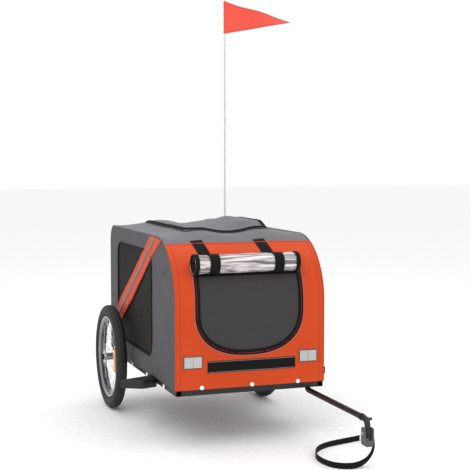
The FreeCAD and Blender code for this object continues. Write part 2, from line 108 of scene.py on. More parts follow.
@dataclass(frozen=True)
class Cabin:
    """The cabin's cloth envelope in millimetres.

    The profile runs up the front, round the front corner, along the roof and round
    the rear corner. It is measured by its length from the front's lower edge.
    """

    half: float = (PANEL_HIGH.x - PANEL_LOW.x) / 2 / MM
    foot: float = PANEL_LOW.z / MM
    top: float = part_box("roof_panel")[1].z / MM
    long: float = (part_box("roof_panel")[1].y - PANEL_LOW.y) / MM
    front_r: float = 222.0
    rear_r: float = 60.0
    seam_y: float = (PANEL_HIGH.y - PANEL_LOW.y) / MM

    @property
    def rise(self) -> float:
        """Length of the upright front."""
        return self.top - self.front_r - self.foot

    @property
    def seam(self) -> float:
        """Profile length up to the seam between front and roof."""
        return self.rise + self.front_r * math.acos(1 - self.seam_y / self.front_r)

    @property
    def end(self) -> float:
        """Profile length at the end of the rear corner."""
        return (self.rise + self.front_r * math.pi / 2 + self.long - self.front_r - self.rear_r
                + self.rear_r * math.pi / 2)

    def profile(self, run: float) -> tuple[float, float, float, float]:
        """The profile's place and outward direction.

        Args:
            run: length along the profile, in mm.

        Returns:
            y, z and the outward direction's y and z.
        """
        arc = self.front_r * math.pi / 2
        flat = self.long - self.front_r - self.rear_r
        if run <= self.rise:
            return 0.0, self.foot + run, -1.0, 0.0
        if run <= self.rise + arc:
            turn = (run - self.rise) / self.front_r
            return (self.front_r * (1 - math.cos(turn)),
                    self.foot + self.rise + self.front_r * math.sin(turn),
                    -math.cos(turn), math.sin(turn))
        if run <= self.rise + arc + flat:
            return self.front_r + run - self.rise - arc, self.top, 0.0, 1.0
        turn = (run - self.rise - arc - flat) / self.rear_r
        return (self.long - self.rear_r * (1 - math.sin(turn)),
                self.top - self.rear_r * (1 - math.cos(turn)),
                math.sin(turn), math.cos(turn))

    def run_at(self, z: float) -> float:
        """Profile length at a height on the front."""
        if z <= self.foot + self.rise:
            return z - self.foot
        return self.rise + self.front_r * math.asin(min(1.0,
                                                        (z - self.foot - self.rise) / self.front_r))

    def ceiling(self, y: float) -> float:
        """Height of the cabin's side outline at a distance from the front."""
        if y < self.front_r:
            return self.top - self.front_r + math.sqrt(max(0.0, self.front_r ** 2
                                                           - (self.front_r - y) ** 2))
        if y > self.long - self.rear_r:
            reach = y - self.long + self.rear_r
            return self.top - self.rear_r + math.sqrt(max(0.0, self.rear_r ** 2 - reach ** 2))
        return self.top

    def lift(self, x: float, y: float) -> float:
        """How far the roof cloth stands over the frame: two soft ridges and a sag between."""
        across = abs(x) / self.half
        ridge = 17 * math.exp(-((across - 0.45) / 0.26) ** 2) + 4 * (1 - across)
        along = smooth(self.seam_y - 40, self.seam_y + 160,
                       y) * (1 - smooth(self.long - 120, self.long, y))
        folds = 1.6 * ripple(x / 45, y / 60, 1.3) * (1 - across ** 4)
        return 1.5 + ridge * (0.25 + 0.75 * along) * (1 - across ** 6) + folds * along

    def skin(self, x: float, run: float, off: float = 0.0) -> Vector:
        """A place on the front and roof cloth, off it by a distance outwards."""
        y, z, ny, nz = self.profile(run)
        if run > self.seam - 60:
            off += self.lift(x, y) * smooth(self.seam - 60, self.seam + 60, run) * max(0.0, nz)
        across = 1 - (x / self.half) ** 2
        front = 1 - smooth(self.seam - 80, self.seam, run)
        off += front * across * (1.2 + 1.4 * ripple(x / 70, run / 80, 0.4)) * smooth(0, 60, run)
        return at(x, y + ny * off, z + nz * off)


CABIN = Cabin()


# ---------------------------------------------------------------- modelling by operators
def deselect() -> None:
    """Leaves nothing selected and no edit mode open."""
    if bpy.context.object and bpy.context.object.mode != "OBJECT":
        bpy.ops.object.mode_set(mode="OBJECT")
    bpy.ops.object.select_all(action="DESELECT")


def apply_modifier(piece: bpy.types.Object, kind: str, **settings: object) -> None:
    """Adds a modifier to a piece, sets it and applies it."""
    bpy.context.view_layer.objects.active = piece
    bpy.ops.object.modifier_add(type=kind)
    modifier = piece.modifiers[-1]
    for key, value in settings.items():
        setattr(modifier, key, value)
    bpy.ops.object.modifier_apply(modifier=modifier.name)


def thicken(piece: bpy.types.Object, thick: float, offset: float) -> None:
    """Gives a surface a wall, in mm, grown outwards for offset 1 and inwards for -1."""
    apply_modifier(piece, "SOLIDIFY", thickness=thick * MM, offset=offset)


def tidy_mesh(piece: bpy.types.Object, distance: float = 0.00002, outward: bool = True) -> None:
    """Merges doubled points and turns the faces outwards."""
    bpy.context.view_layer.objects.active = piece
    bpy.ops.object.mode_set(mode="EDIT")
    bpy.ops.mesh.select_all(action="SELECT")
    bpy.ops.mesh.remove_doubles(threshold=distance)
    if outward:
        bpy.ops.mesh.normals_make_consistent(inside=False)
    bpy.ops.object.mode_set(mode="OBJECT")


def warped(name: str, across: int, along: int, place: Place, size: tuple[float, float] = (1.0, 1.0),
           keep: Optional[Callable[[float, float], bool]] = None,
           thick: float = 0.0) -> bpy.types.Object:
    """A grid laid onto a formula's surface, with UVs in metres.

    Args:
        name: the piece's name.
        across: faces along u.
        along: faces along v.
        place: gives the place for u and v from 0 to 1.
        size: real length in metres of u and v, for the UV map.
        keep: says whether the face at u and v stays.
        thick: wall thickness in mm, grown inwards.

    Returns:
        The new piece.
    """
    deselect()
    bpy.ops.mesh.primitive_grid_add(x_subdivisions=across, y_subdivisions=along, size=2)
    piece = bpy.context.object
    piece.name = name
    mesh = piece.data
    spots = [((v.co.x + 1) / 2, (v.co.y + 1) / 2) for v in mesh.vertices]
    layer = mesh.uv_layers.active.data
    for loop in mesh.loops:
        u, v = spots[loop.vertex_index]
        layer[loop.index].uv = (u * size[0], v * size[1])
    if keep:
        for face in mesh.polygons:
            middle = face.center
            face.select = not keep((middle.x + 1) / 2, (middle.y + 1) / 2)
        bpy.context.tool_settings.mesh_select_mode = (False, False, True)
        for vertex in mesh.vertices:
            vertex.co = place(*spots[vertex.index])
        bpy.ops.object.mode_set(mode="EDIT")
        bpy.ops.mesh.delete(type="FACE")
        bpy.ops.object.mode_set(mode="OBJECT")
    else:
        for vertex in mesh.vertices:
            vertex.co = place(*spots[vertex.index])
    piece["flat_area"] = sum(face.area for face in mesh.polygons)
    if thick:
        apply_modifier(piece, "SOLIDIFY", thickness=thick * MM, offset=-1.0)
    bpy.ops.object.shade_smooth_by_angle(angle=math.radians(50))
    return piece


def tube(name: str, path: Route, radius: float, steps: int, sides: int = 10,
         closed: bool = False, up: Vector = Vector((0, 0, 1)), flat: float = 1.0,
         swell: Optional[Callable[[float], float]] = None) -> bpy.types.Object:
    """A round or flattened bar along a path.

    Args:
        name: the piece's name.
        path: gives the place in metres for t from 0 to 1.
        radius: half the width, in mm.
        steps: rings along the path.
        sides: points round the bar.
        closed: whether the path is a loop.
        up: the direction in which flat squeezes the bar.
        flat: height over width.
        swell: changes the radius along the path.

    Returns:
        The new piece.
    """
    def place(u: float, v: float) -> Vector:
        t = u if closed else min(1.0, max(0.0, (u * steps - 1) / (steps - 2)))
        step = 0.002
        low, high = (t - step, t + step) if closed else (max(0.0, t - step), min(1.0, t + step))
        ahead = (path(high % 1.0 if closed else high)
                 - path(low % 1.0 if closed else low)).normalized()
        side = ahead.cross(up).normalized()
        lift = side.cross(ahead)
        r = radius * MM * (swell(t) if swell else 1.0)
        if not closed and (u < 0.5 / steps or u > 1 - 0.5 / steps):
            r = 0.0
        turn = TAU * v
        return path(t % 1.0 if closed
                    else t) + side * (r * math.cos(turn)) + lift * (r * flat * math.sin(turn))

    piece = warped(name, steps, sides, place)
    tidy_mesh(piece)
    return piece


def tape(name: str, path: Route, face: Route, width: float,
         steps: int, thick: float = 1.4, closed: bool = False,
         crown: float = 0.5) -> bpy.types.Object:
    """A flat woven tape laid along a path, its middle a little crowned."""
    step = 0.001
    length = sum((path((i + 1) / 40) - path(i / 40)).length for i in range(40))

    def place(u: float, v: float) -> Vector:
        low, high = ((u - step) % 1.0, (u + step) % 1.0) if closed else (max(0.0, u - step),
                                                                         min(1.0, u + step))
        normal = face(u)
        ahead = (path(high) - path(low)).normalized()
        side = normal.cross(ahead).normalized()
        rise = thick + crown * (1 - (2 * v - 1) ** 2)
        return path(u) + side * ((v - 0.5) * width * MM) + normal * (rise * MM)

    piece = warped(name, steps, 6, place, (length, width * MM))
    if closed:
        tidy_mesh(piece, outward=False)
    thicken(piece, thick + 0.4, -1.0)
    tidy_mesh(piece, distance=0.000001)
    bpy.ops.object.shade_smooth_by_angle(angle=math.radians(40))
    return piece


def stitches(name: str, path: Route, face: Route, length: float,
             pitch: float = 9.0, radius: float = 0.8) -> bpy.types.Object:
    """A sewn line: a thread that rises over the cloth and dips into it at each stitch."""
    count = max(2, round(length / pitch))

    def line(t: float) -> Vector:
        wave = math.cos(TAU * count * t)
        return path(t) + face(t) * ((0.9 * wave + 0.1) * MM)

    return tube(name, line, radius, count * 6, 5, up=Vector((0.31, 0.17, 0.93)))


def turned(name: str, outline: Sequence[tuple[float, float]], centre: Vector, segments: int,
           closed: bool = True) -> bpy.types.Object:
    """A piece of revolution about the axle line from (x off the centre, radius) points in mm."""
    points = list(outline) + [outline[0]] if closed else list(outline)
    last = len(points) - 1

    def place(u: float, v: float) -> Vector:
        off, r = points[round(v * last)]
        turn = TAU * u
        return centre + Vector((off, r * math.cos(turn), r * math.sin(turn))) * MM

    piece = warped(name, segments, last, place)
    tidy_mesh(piece)
    bpy.ops.object.shade_smooth_by_angle(angle=math.radians(35))
    return piece


def block(name: str, low: Vector, high: Vector, round_mm: float,
          steps: int = 3) -> bpy.types.Object:
    """A block between two corners with rounded edges."""
    deselect()
    bpy.ops.mesh.primitive_cube_add(size=1)
    piece = bpy.context.object
    piece.name = name
    for vertex in piece.data.vertices:
        share = vertex.co + Vector((0.5, 0.5, 0.5))
        vertex.co = Vector(low[i] + share[i] * (high[i] - low[i]) for i in range(3))
    apply_modifier(piece, "BEVEL", width=round_mm * MM, segments=steps)
    bpy.ops.object.shade_smooth_by_angle(angle=math.radians(40))
    return piece


def softened(node: str, round_mm: float) -> bpy.types.Object:
    """A copy of a CAD piece with its edges rounded, standing in for it."""
    deselect()
    source = frame["nodes"][node]
    piece = source.copy()
    piece.data = source.data.copy()
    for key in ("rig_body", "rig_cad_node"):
        if key in piece:
            del piece[key]
    piece.parent = None
    piece.name = node + "_finished"
    bpy.context.scene.collection.objects.link(piece)
    piece.select_set(True)
    bpy.context.view_layer.objects.active = piece
    bpy.ops.object.mode_set(mode="EDIT")
    bpy.ops.mesh.select_all(action="SELECT")
    bpy.ops.mesh.remove_doubles(threshold=0.00002)
    bpy.ops.mesh.dissolve_limited(angle_limit=math.radians(2))
    bpy.ops.object.mode_set(mode="OBJECT")
    apply_modifier(piece, "BEVEL", width=round_mm * MM, segments=3, limit_method="ANGLE",
                   angle_limit=math.radians(35))
    bpy.ops.object.shade_smooth_by_angle(angle=math.radians(40))
    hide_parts(node)
    return piece


# ---------------------------------------------------------------- finishes
def colour(text: str) -> tuple[float, float, float, float]:
    """Linear colour of an sRGB hex value."""
    parts = [int(text[i:i + 2], 16) / 255 for i in (1, 3, 5)]
    return (*[c / 12.92 if c <= 0.04045 else ((c + 0.055) / 1.055) ** 2.4 for c in parts], 1.0)


def fill(node: bpy.types.Node, values: dict) -> None:
    """Sets a node's constants."""
    for key, value in values.items():
        node.inputs[key].default_value = value


def add(tree: bpy.types.NodeTree, kind: str, values: Optional[dict] = None,
        links: Optional[dict] = None, **settings: object) -> bpy.types.Node:
    """Adds a node with its settings, constants and links."""
    node = tree.nodes.new(kind)
    for key, value in settings.items():
        setattr(node, key, value)
    fill(node, values or {})
    for key, source in (links or {}).items():
        tree.links.new(source, node.inputs[key])
    return node


class Weave(Enum):
    """How a cloth is woven, with its thread spacing in mm as far as it can show."""

    OXFORD = 2.2
    WEBBING = 2.8
    NYLON = 1.6


def noise(tree: bpy.types.NodeTree, place: bpy.types.NodeSocket, scale: float, detail: float,
          **more: float) -> bpy.types.NodeSocket:
    """A noise texture's level; more holds its other inputs."""
    return add(tree, "ShaderNodeTexNoise", {"Scale": scale, "Detail": detail, **more},
               {"Vector": place}).outputs[0]


def crossed(tree: bpy.types.NodeTree, place: bpy.types.NodeSocket, rate: float,
            **more: float) -> bpy.types.NodeSocket:
    """Two crossing sets of thread bands, multiplied."""
    bands = [add(tree, "ShaderNodeTexWave", {"Scale": rate, **more}, {"Vector": place},
                 bands_direction=way) for way in "XY"]
    return add(tree, "ShaderNodeMath",
               links={k: band.outputs["Fac"] for k, band in enumerate(bands)},
               operation="MULTIPLY").outputs[0]


def relief(tree: bpy.types.NodeTree, shader: bpy.types.Node, height: bpy.types.NodeSocket,
           strength: float, distance: float) -> None:
    """Makes a level the shader's bump."""
    bump = add(tree, "ShaderNodeBump", {"Strength": strength, "Distance": distance},
               {"Height": height})
    tree.links.new(bump.outputs[0], shader.inputs["Normal"])


@dataclass(frozen=True)
class Finish:
    """A material made from its own nodes."""

    name: str
    tint: str
    slot: str
    rough: float = 0.5

    def material(self) -> bpy.types.Material:
        """The material, made once."""
        found = bpy.data.materials.get(self.name)
        if found:
            return found
        made = bpy.data.materials.new(self.name)
        made.use_nodes = True
        tree = made.node_tree
        tree.nodes.clear()
        shader = add(tree, "ShaderNodeBsdfPrincipled",
                     {"Base Color": colour(self.tint), "Roughness": self.rough})
        out = add(tree, "ShaderNodeOutputMaterial", links={"Surface": shader.outputs[0]})
        out.location = (400, 0)
        made.diffuse_color = colour(self.tint)
        self.build(tree, shader)
        return made

    def build(self, tree: bpy.types.NodeTree, shader: bpy.types.Node) -> None:
        """Adds the finish's own nodes; a plain finish gets a fine mottle."""
        self.mottle(tree, shader, 60.0, 0.06, 0.0002)

    def shades(self, tree: bpy.types.NodeTree, level: bpy.types.NodeSocket,
               *stops: tuple[float, float]) -> bpy.types.NodeSocket:
        """The tint over a level; each stop is a position and the tint's factor there."""
        ramp = add(tree, "ShaderNodeValToRGB", links={"Fac": level})
        for stop, (position, factor) in zip(ramp.color_ramp.elements, stops):
            stop.color = tuple(min(1.0, c * factor) for c in colour(self.tint)[:3]) + (1.0,)
            stop.position = position
        return ramp.outputs[0]

    def mottle(self, tree: bpy.types.NodeTree, shader: bpy.types.Node, scale: float, depth: float,
               bump: float) -> None:
        """Uneven colour and a fine relief over the piece."""
        place = add(tree, "ShaderNodeTexCoord").outputs["Object"]
        tint = self.shades(tree, noise(tree, place, scale, 6.0), (0.3, 1 - depth * 2),
                           (0.7, 1 + depth))
        tree.links.new(tint, shader.inputs["Base Color"])
        relief(tree, shader, noise(tree, place, scale * 12, 3.0), 0.35, bump)


@dataclass(frozen=True)
class Cloth(Finish):
    """Coated polyester cloth: a square weave, soft sheen and slight colour drift."""

    weave: Weave = Weave.OXFORD
    sheen: float = 0.04
    crumple: float = 1.0

    def build(self, tree: bpy.types.NodeTree, shader: bpy.types.Node) -> None:
        """Two crossing thread bands, large soft creases and a drifting colour."""
        fill(shader,
             {"Sheen Weight": self.sheen, "Sheen Roughness": 0.5, "Specular IOR Level": 0.22})
        place = add(tree, "ShaderNodeTexCoord").outputs
        rate = 1000 / self.weave.value / 2 / math.pi * 0.5
        threads = crossed(tree, place["UV"], rate, Distortion=0.4, Detail=1.0)
        creases = noise(tree, place["Object"], 7.0, 4.0, Roughness=0.55, Distortion=0.6)
        tint = self.shades(tree, noise(tree, place["Object"], 2.5, 3.0), (0.35, 0.90), (0.65, 1.06))
        shade = add(tree, "ShaderNodeMapRange",
                    {"From Min": 0.0, "From Max": 1.0, "To Min": 0.86, "To Max": 1.05},
                    {"Value": threads})
        tinted = add(tree, "ShaderNodeVectorMath", links={0: tint}, operation="SCALE")
        tree.links.new(shade.outputs[0], tinted.inputs["Scale"])
        tree.links.new(tinted.outputs[0], shader.inputs["Base Color"])
        fine = add(tree, "ShaderNodeBump", {"Strength": 0.5, "Distance": 0.0004},
                   {"Height": threads})
        broad = add(tree, "ShaderNodeBump", {"Strength": 0.5 * self.crumple, "Distance": 0.012},
                    {"Height": creases, "Normal": fine.outputs[0]})
        tree.links.new(broad.outputs[0], shader.inputs["Normal"])


@dataclass(frozen=True)
class Netting(Finish):
    """Knitted insect mesh: round holes in dark yarn, seen through where it isn't yarn."""

    pitch: float = 2.2
    cover: float = 0.8

    def build(self, tree: bpy.types.NodeTree, shader: bpy.types.Node) -> None:
        """Yarn colour with see-through holes between the yarns."""
        fill(shader, {"Specular IOR Level": 0.15})
        place = add(tree, "ShaderNodeTexCoord").outputs["UV"]
        hole = crossed(tree, place, 1000 / self.pitch / 2 / math.pi)
        clear = 2.6 * self.cover - 1.6
        alpha = add(tree, "ShaderNodeMapRange",
                    {"From Min": 0.35, "From Max": 0.6, "To Min": 1.0, "To Max": clear},
                    {"Value": hole})
        tree.links.new(alpha.outputs[0], shader.inputs["Alpha"])
        relief(tree, shader, hole, 0.2, 0.0003)


@dataclass(frozen=True)
class Metal(Finish):
    """Bare or polished metal with an uneven roughness."""

    def build(self, tree: bpy.types.NodeTree, shader: bpy.types.Node) -> None:
        """Full metal, its roughness varied over the piece."""
        fill(shader, {"Metallic": 1.0})
        place = add(tree, "ShaderNodeTexCoord").outputs["Object"]
        rough = add(tree, "ShaderNodeMapRange",
                    {"To Min": self.rough * 0.7, "To Max": self.rough * 1.4},
                    {"Value": noise(tree, place, 90.0, 5.0)})
        tree.links.new(rough.outputs[0], shader.inputs["Roughness"])


@dataclass(frozen=True)
class Moulded(Finish):
    """Moulded or painted surface: fine orange peel under a soft gloss."""

    coat: float = 0.0
    grain: float = 60.0

    def build(self, tree: bpy.types.NodeTree, shader: bpy.types.Node) -> None:
        """A fine grain, and a clear coat where it is painted."""
        fill(shader, {"Coat Weight": self.coat, "Coat Roughness": 0.12})
        self.mottle(tree, shader, self.grain, 0.08, 0.0003)


@dataclass(frozen=True)
class Lens(Finish):
    """Reflector plastic: rows of small prisms under a smooth clear face."""

    cell: float = 5.0

    def build(self, tree: bpy.types.NodeTree, shader: bpy.types.Node) -> None:
        """A square prism pattern that lightens and darkens cell by cell."""
        fill(shader, {"Coat Weight": 1.0, "Coat Roughness": 0.05})
        place = add(tree, "ShaderNodeTexCoord").outputs["Object"]
        cells = add(tree, "ShaderNodeTexVoronoi", {"Scale": 1000 / self.cell, "Randomness": 0.15},
                    {"Vector": place}).outputs["Distance"]
        tree.links.new(self.shades(tree, cells, (0.0, 1.25), (1.0, 0.6)),
                       shader.inputs["Base Color"])
        relief(tree, shader, cells, 0.6, 0.0006)


@dataclass(frozen=True)
class Film(Finish):
    """Clear soft vinyl, rolled: milky where layers stack, glossy and creased, with painted
    highlights and painted shade streaked along its creases.
    """

    def build(self, tree: bpy.types.NodeTree, shader: bpy.types.Node) -> None:
        """Part see-through with a wet gloss and long creases; the creases also drive bright and
        dark streaks of colour, a painted highlight and painted shade.
        """
        fill(shader, {"Transmission Weight": 0.25, "Coat Weight": 0.9, "Coat Roughness": 0.08})
        run = add(tree, "ShaderNodeMapping", {"Scale": (5.0, 60.0, 60.0)},
                  {"Vector": add(tree, "ShaderNodeTexCoord").outputs["Object"]})
        creases = noise(tree, run.outputs[0], 1.0, 6.0, Distortion=1.5)
        # Painted highlights and painted shade: the crease level runs the colour from near black to
        # brighter than the tint.
        tree.links.new(self.shades(tree, creases, (0.38, 0.16), (0.6, 1.2)),
                       shader.inputs["Base Color"])
        relief(tree, shader, creases, 0.8, 0.003)


ORANGE = Cloth("orange coated polyester", "#CE4514", "orange_cloth", 0.62)
GREY = Cloth("grey coated polyester", "#48484B", "grey_cloth", 0.68)
# The roof is the same grey cloth as the sides; its lighter colour is painted light, standing in for
# the light that falls on top.
ROOF_PAINTED_LIGHTER = Cloth("grey coated polyester painted lighter for top light", "#68686D", "roof_cloth", 0.55)
BINDING = Cloth("black grosgrain tape", "#050506", "webbing", 0.8, Weave.WEBBING, 0.0, 0.1)
STRIPE = Cloth("grey reflective tape", "#66686C", "reflector_white", 0.4, Weave.NYLON, 0.0, 0.2)
THREAD_ORANGE = Cloth("orange thread", "#B8431F", "orange_cloth", 0.6, Weave.NYLON, 0.2, 0.0)
THREAD_GREY = Cloth("grey thread", "#8C8C90", "grey_cloth", 0.6, Weave.NYLON, 0.2, 0.0)
PENNANT = Cloth("coral nylon flag cloth", "#E4503F", "flag_cloth", 0.6, Weave.NYLON, 0.3, 0.6)
MAT = Cloth("quilted charcoal mat", "#36363A", "mat", 0.85)
FRONT_NET = Netting("charcoal insect mesh", "#3C3A3B", "front_mesh", 0.7, 2.2, 0.9)
SIDE_NET = Netting("black insect mesh", "#1B1616", "side_mesh", 0.75, 2.2, 0.95)
FRAME_PAINT = Moulded("black powder-coated steel", "#070708", "frame_black", 0.5, 0.0)
BAR_PAINT = Moulded("gloss black enamel", "#0B0B0C", "drawbar_paint", 0.5, 0.0)
BLACK_NYLON = Moulded("black moulded nylon", "#0E0E0F", "guard_plastic", 0.5, 0.0, 90.0)
GREY_NYLON = Moulded("dark grey moulded nylon", "#4A4A4B", "coupler_plastic", 0.42, 0.1, 70.0)
WHITE_CAP = Moulded("white moulded acetal", "#F2EFEA", "snap_white", 0.3, 0.3)
POLE_WHITE = Moulded("white glass-fibre rod", "#C4C4C6", "pole", 0.28, 0.4)
BOARD = Moulded("plywood floor", "#5D4E3C", "board", 0.7, 0.0, 25.0)
TYRE_RUBBER = Moulded("black tyre rubber", "#101011", "tyre", 0.68, 0.0, 200.0)
TUBE_RUBBER = Moulded("butyl rubber", "#161616", "inner_rubber", 0.8)
ALLOY = Metal("polished alloy", "#8A8C90", "rim_alloy", 0.22)
HUB_ALLOY = Metal("turned alloy", "#BFC1C5", "hub_alloy", 0.28)
STEEL = Metal("stainless steel", "#C4C6C9", "steel", 0.25)
NICKEL = Metal("nickel-plated ring", "#DADADA", "ring_nickel", 0.15)
AMBER = Lens("amber reflector", "#E0882A", "amber", 0.2)
WHITE_LENS = Lens("silver reflector", "#B6B7B5", "reflector_white", 0.2)
VINYL = Film("rolled clear vinyl", "#E6DEDE", "clear_cover", 0.18)


def dress(piece: bpy.types.Object, finish: Finish, body: str, *nodes: str) -> bpy.types.Object:
    """Gives a piece its finish, its body and the CAD nodes that it stands for."""
    piece.data.materials.clear()
    piece.data.materials.append(finish.material())
    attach(piece, body)
    if nodes:
        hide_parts(*nodes)
    LOG.info("made %s", piece.name)
    return piece


def dress_node(node: str, finish: Finish) -> None:
    """Gives a CAD node that stays in view its finish."""
    piece = frame["nodes"][node]
    piece.data.materials.clear()
    piece.data.materials.append(finish.material())


# ---------------------------------------------------------------- the cabin
@dataclass
class Bowl:
    """The front window's outline: a straight top on a deep round bowl, in mm."""

    left: float = -193.0
    right: float = 184.0
    low: float = 323.0
    top: float = 596.0
    waist: float = 470.0
    power: float = 2.4

    def inside(self, x: float, z: float, inset: float = 0.0) -> bool:
        """Whether a place on the front is in the window."""
        middle, wide = (self.left + self.right) / 2, (self.right - self.left) / 2 - inset
        if z > self.top - inset:
            return False
        if z >= self.waist:
            return abs(x - middle) < wide
        deep = self.waist - self.low - inset
        share = (self.waist - z) / deep
        return share < 1 and abs(x - middle) < wide * (1 - share ** self.power) ** (1 / self.power)

    def rim(self, t: float, inset: float = 0.0) -> tuple[float, float]:
        """A place on the outline, from the top left corner down and round."""
        middle, wide = (self.left + self.right) / 2, (self.right - self.left) / 2 - inset
        top, deep = self.top - inset, self.waist - self.low - inset
        straight = top - self.waist
        bowl = math.pi / 2 * (wide + deep)
        total = 2 * straight + bowl + 2 * wide
        run = t * total
        if run < straight:
            return middle - wide, top - run
        run -= straight
        if run < bowl:
            turn = math.pi * run / bowl
            c, s = math.cos(turn), math.sin(turn)
            k = 2 / self.power
            return (middle - wide * math.copysign(abs(c) ** k, c), self.waist - deep * abs(s) ** k)
        run -= bowl
        if run < straight:
            return middle + wide, self.waist + run
        run -= straight
        return middle + wide - run, top


@dataclass
class SideWindow:
    """A side window's outline, a rectangle with round corners, in mm."""

    front: float = 290.0
    rear: float = 800.0
    low: float = 275.0
    high: float = 650.0
    corner: float = 45.0

    def inside(self, y: float, z: float, inset: float = 0.0) -> bool:
        """Whether a place on the side is in the window."""
        dy = max(self.front + self.corner - y, y - self.rear + self.corner, 0.0)
        dz = max(self.low + self.corner - z, z - self.high + self.corner, 0.0)
        return math.hypot(dy, dz) < self.corner - inset

    def rim(self, t: float) -> tuple[float, float]:
        """A place on the outline, round once."""
        wide = self.rear - self.front - 2 * self.corner
        tall = self.high - self.low - 2 * self.corner
        arc = math.pi / 2 * self.corner
        run = (t % 1.0) * (2 * wide + 2 * tall + 4 * arc)
        corners = ((self.rear - self.corner, self.low + self.corner, -90, wide),
                   (self.rear - self.corner, self.high - self.corner, 0, tall),
                   (self.front + self.corner, self.high - self.corner, 90, wide),
                   (self.front + self.corner, self.low + self.corner, 180, tall))
        for cy, cz, start, straight in corners:
            out = math.radians(start)
            if run < straight:
                back = straight - run
                return (cy + self.corner * math.cos(out) + back * math.sin(out),
                        cz + self.corner * math.sin(out) - back * math.cos(out))
            run -= straight
            if run < arc:
                turn = out + run / self.corner
                return cy + self.corner * math.cos(turn), cz + self.corner * math.sin(turn)
            run -= arc
        return self.front + self.corner, self.low


@dataclass
class Cloths:
    """The cabin's cloth: front, roof, sides and rear, with bindings and sewing."""

    bowl: Bowl = field(default_factory=Bowl)
    window: SideWindow = field(default_factory=SideWindow)
    hatch_x: tuple[float, float] = (-150.0, 150.0)
    hatch_y: tuple[float, float] = (250.0, 790.0)
    hatch_lap: float = 10.0
    # The rear opening's half width, low and high edges; its flap's width, low edge and height.
    rear_opening: tuple[float, float, float] = (165.0, 245.0, 640.0)
    rear_flap: tuple[float, float, float] = (350.0, 235.0, 415.0)
    flap_bend: float = 34.0

    def normal(self, run: float) -> Vector:
        """Outward direction of the front and roof at a profile length."""
        _, _, ny, nz = CABIN.profile(run)
        return Vector((0, ny, nz))

    def front(self) -> None:
        """Orange front from the floor rail to the roof seam, with its window cut out."""
        def place(u: float, v: float) -> Vector:
            return CABIN.skin((2 * u - 1) * CABIN.half, v * CABIN.seam)

        def keep(u: float, v: float) -> bool:
            z = CABIN.profile(v * CABIN.seam)[1]
            return not self.bowl.inside((2 * u - 1) * CABIN.half, z)

        piece = warped("front_cloth", 120, 130, place, (2 * CABIN.half * MM, CABIN.seam * MM), keep,
                       CLOTH_THICK)
        dress(piece, ORANGE, "chassis", "front_panel")
        CABIN.seam

    def bowl_path(self, inset: float) -> Route:
        """The window's outline laid on the front cloth."""
        def path(t: float) -> Vector:
            x, z = self.bowl.rim(min(t, 0.99999), inset)
            return CABIN.skin(x, CABIN.run_at(z))
        return path

    def bowl_face(self, inset: float) -> Route:
        """The front cloth's outward direction along the window's outline."""
        return lambda t: self.normal(CABIN.run_at(self.bowl.rim(min(t, 0.99999), inset)[1]))

    def front_window(self) -> None:
        """The mesh door in the front with its zip, and the binding round the opening."""
        low, high = CABIN.run_at(self.bowl.low), CABIN.run_at(self.bowl.top)

        def place(u: float, v: float) -> Vector:
            x = self.bowl.left + u * (self.bowl.right - self.bowl.left)
            run = low + v * (high - low)
            sag = -2.5 * math.sin(math.pi * u) * math.sin(math.pi * v)
            return CABIN.skin(x, run, -1.0 + sag)

        def keep(u: float, v: float) -> bool:
            x = self.bowl.left + u * (self.bowl.right - self.bowl.left)
            return self.bowl.inside(x, CABIN.profile(low + v * (high - low))[1], 1.0)

        wide, tall = self.bowl.right - self.bowl.left, high - low
        net = warped("front_door_net", 90, 70, place, (wide * MM, tall * MM), keep, 0.6)
        dress(net, FRONT_NET, "front_door", "front_door")
        edge = tape("front_door_edge", self.bowl_path(6), self.bowl_face(6), 11, 260, 0.4, True)
        dress(edge, BINDING, "front_door")
        binding = tape("front_opening_binding", self.bowl_path(-3.5), self.bowl_face(-3.5), 6, 260,
                       0.8, True)
        dress(binding, BINDING, "chassis")
        sewing = stitches("front_opening_sewing", self.bowl_path(-8.5), self.bowl_face(-8.5), 1200)
        dress(sewing, THREAD_GREY, "chassis")

    def roof_keep(self, u: float, v: float) -> bool:
        """Whether the roof cloth stays, outside the hatch opening."""
        x = (2 * u - 1) * CABIN.half
        y = CABIN.profile(CABIN.seam + v * (CABIN.end - CABIN.seam))[0]
        return not (self.hatch_x[0] < x < self.hatch_x[1] and self.hatch_y[0] < y < self.hatch_y[1])

    def roof(self) -> None:
        """Grey roof from the seam round the rear corner, its colour painted lighter for the light
        on top.
        """
        def place(u: float, v: float) -> Vector:
            return CABIN.skin((2 * u - 1) * CABIN.half, CABIN.seam + v * (CABIN.end - CABIN.seam))

        long = CABIN.end - CABIN.seam
        piece = warped("roof_cloth_sheet", 110, 150, place, (2 * CABIN.half * MM, long * MM),
                       self.roof_keep, CLOTH_THICK)
        dress(piece, ROOF_PAINTED_LIGHTER, "chassis", "roof_panel")

        def seam(t: float) -> Vector:
            return CABIN.skin((2 * t - 1) * CABIN.half, CABIN.seam)

        welt = tube("roof_seam_welt", seam, 2.2, 60, 8)
        dress(welt, ORANGE, "chassis")

    def flap_lift(self, x: float, y: float) -> float:
        """How far the hatch flap puffs up over the roof cloth."""
        u, v = ((place - ends[0] + self.hatch_lap) / (ends[1] - ends[0] + 2 * self.hatch_lap)
                for place, ends in ((x, self.hatch_x), (y, self.hatch_y)))
        edge = min(1.0, 6 * u, 6 * (1 - u), 8 * v)
        puff = 21 * smooth(0.3, 0.8, u) * smooth(0.03, 0.18, v) * (1 - smooth(0.5, 1.0, v))
        wave = 2.2 * ripple(x / 38, y / 70, 2.1)
        loose = 1 - smooth(0.94, 1.0, v)
        return 2.3 + loose * (2.2 + max(0.0, edge) * (3 + wave) + puff)

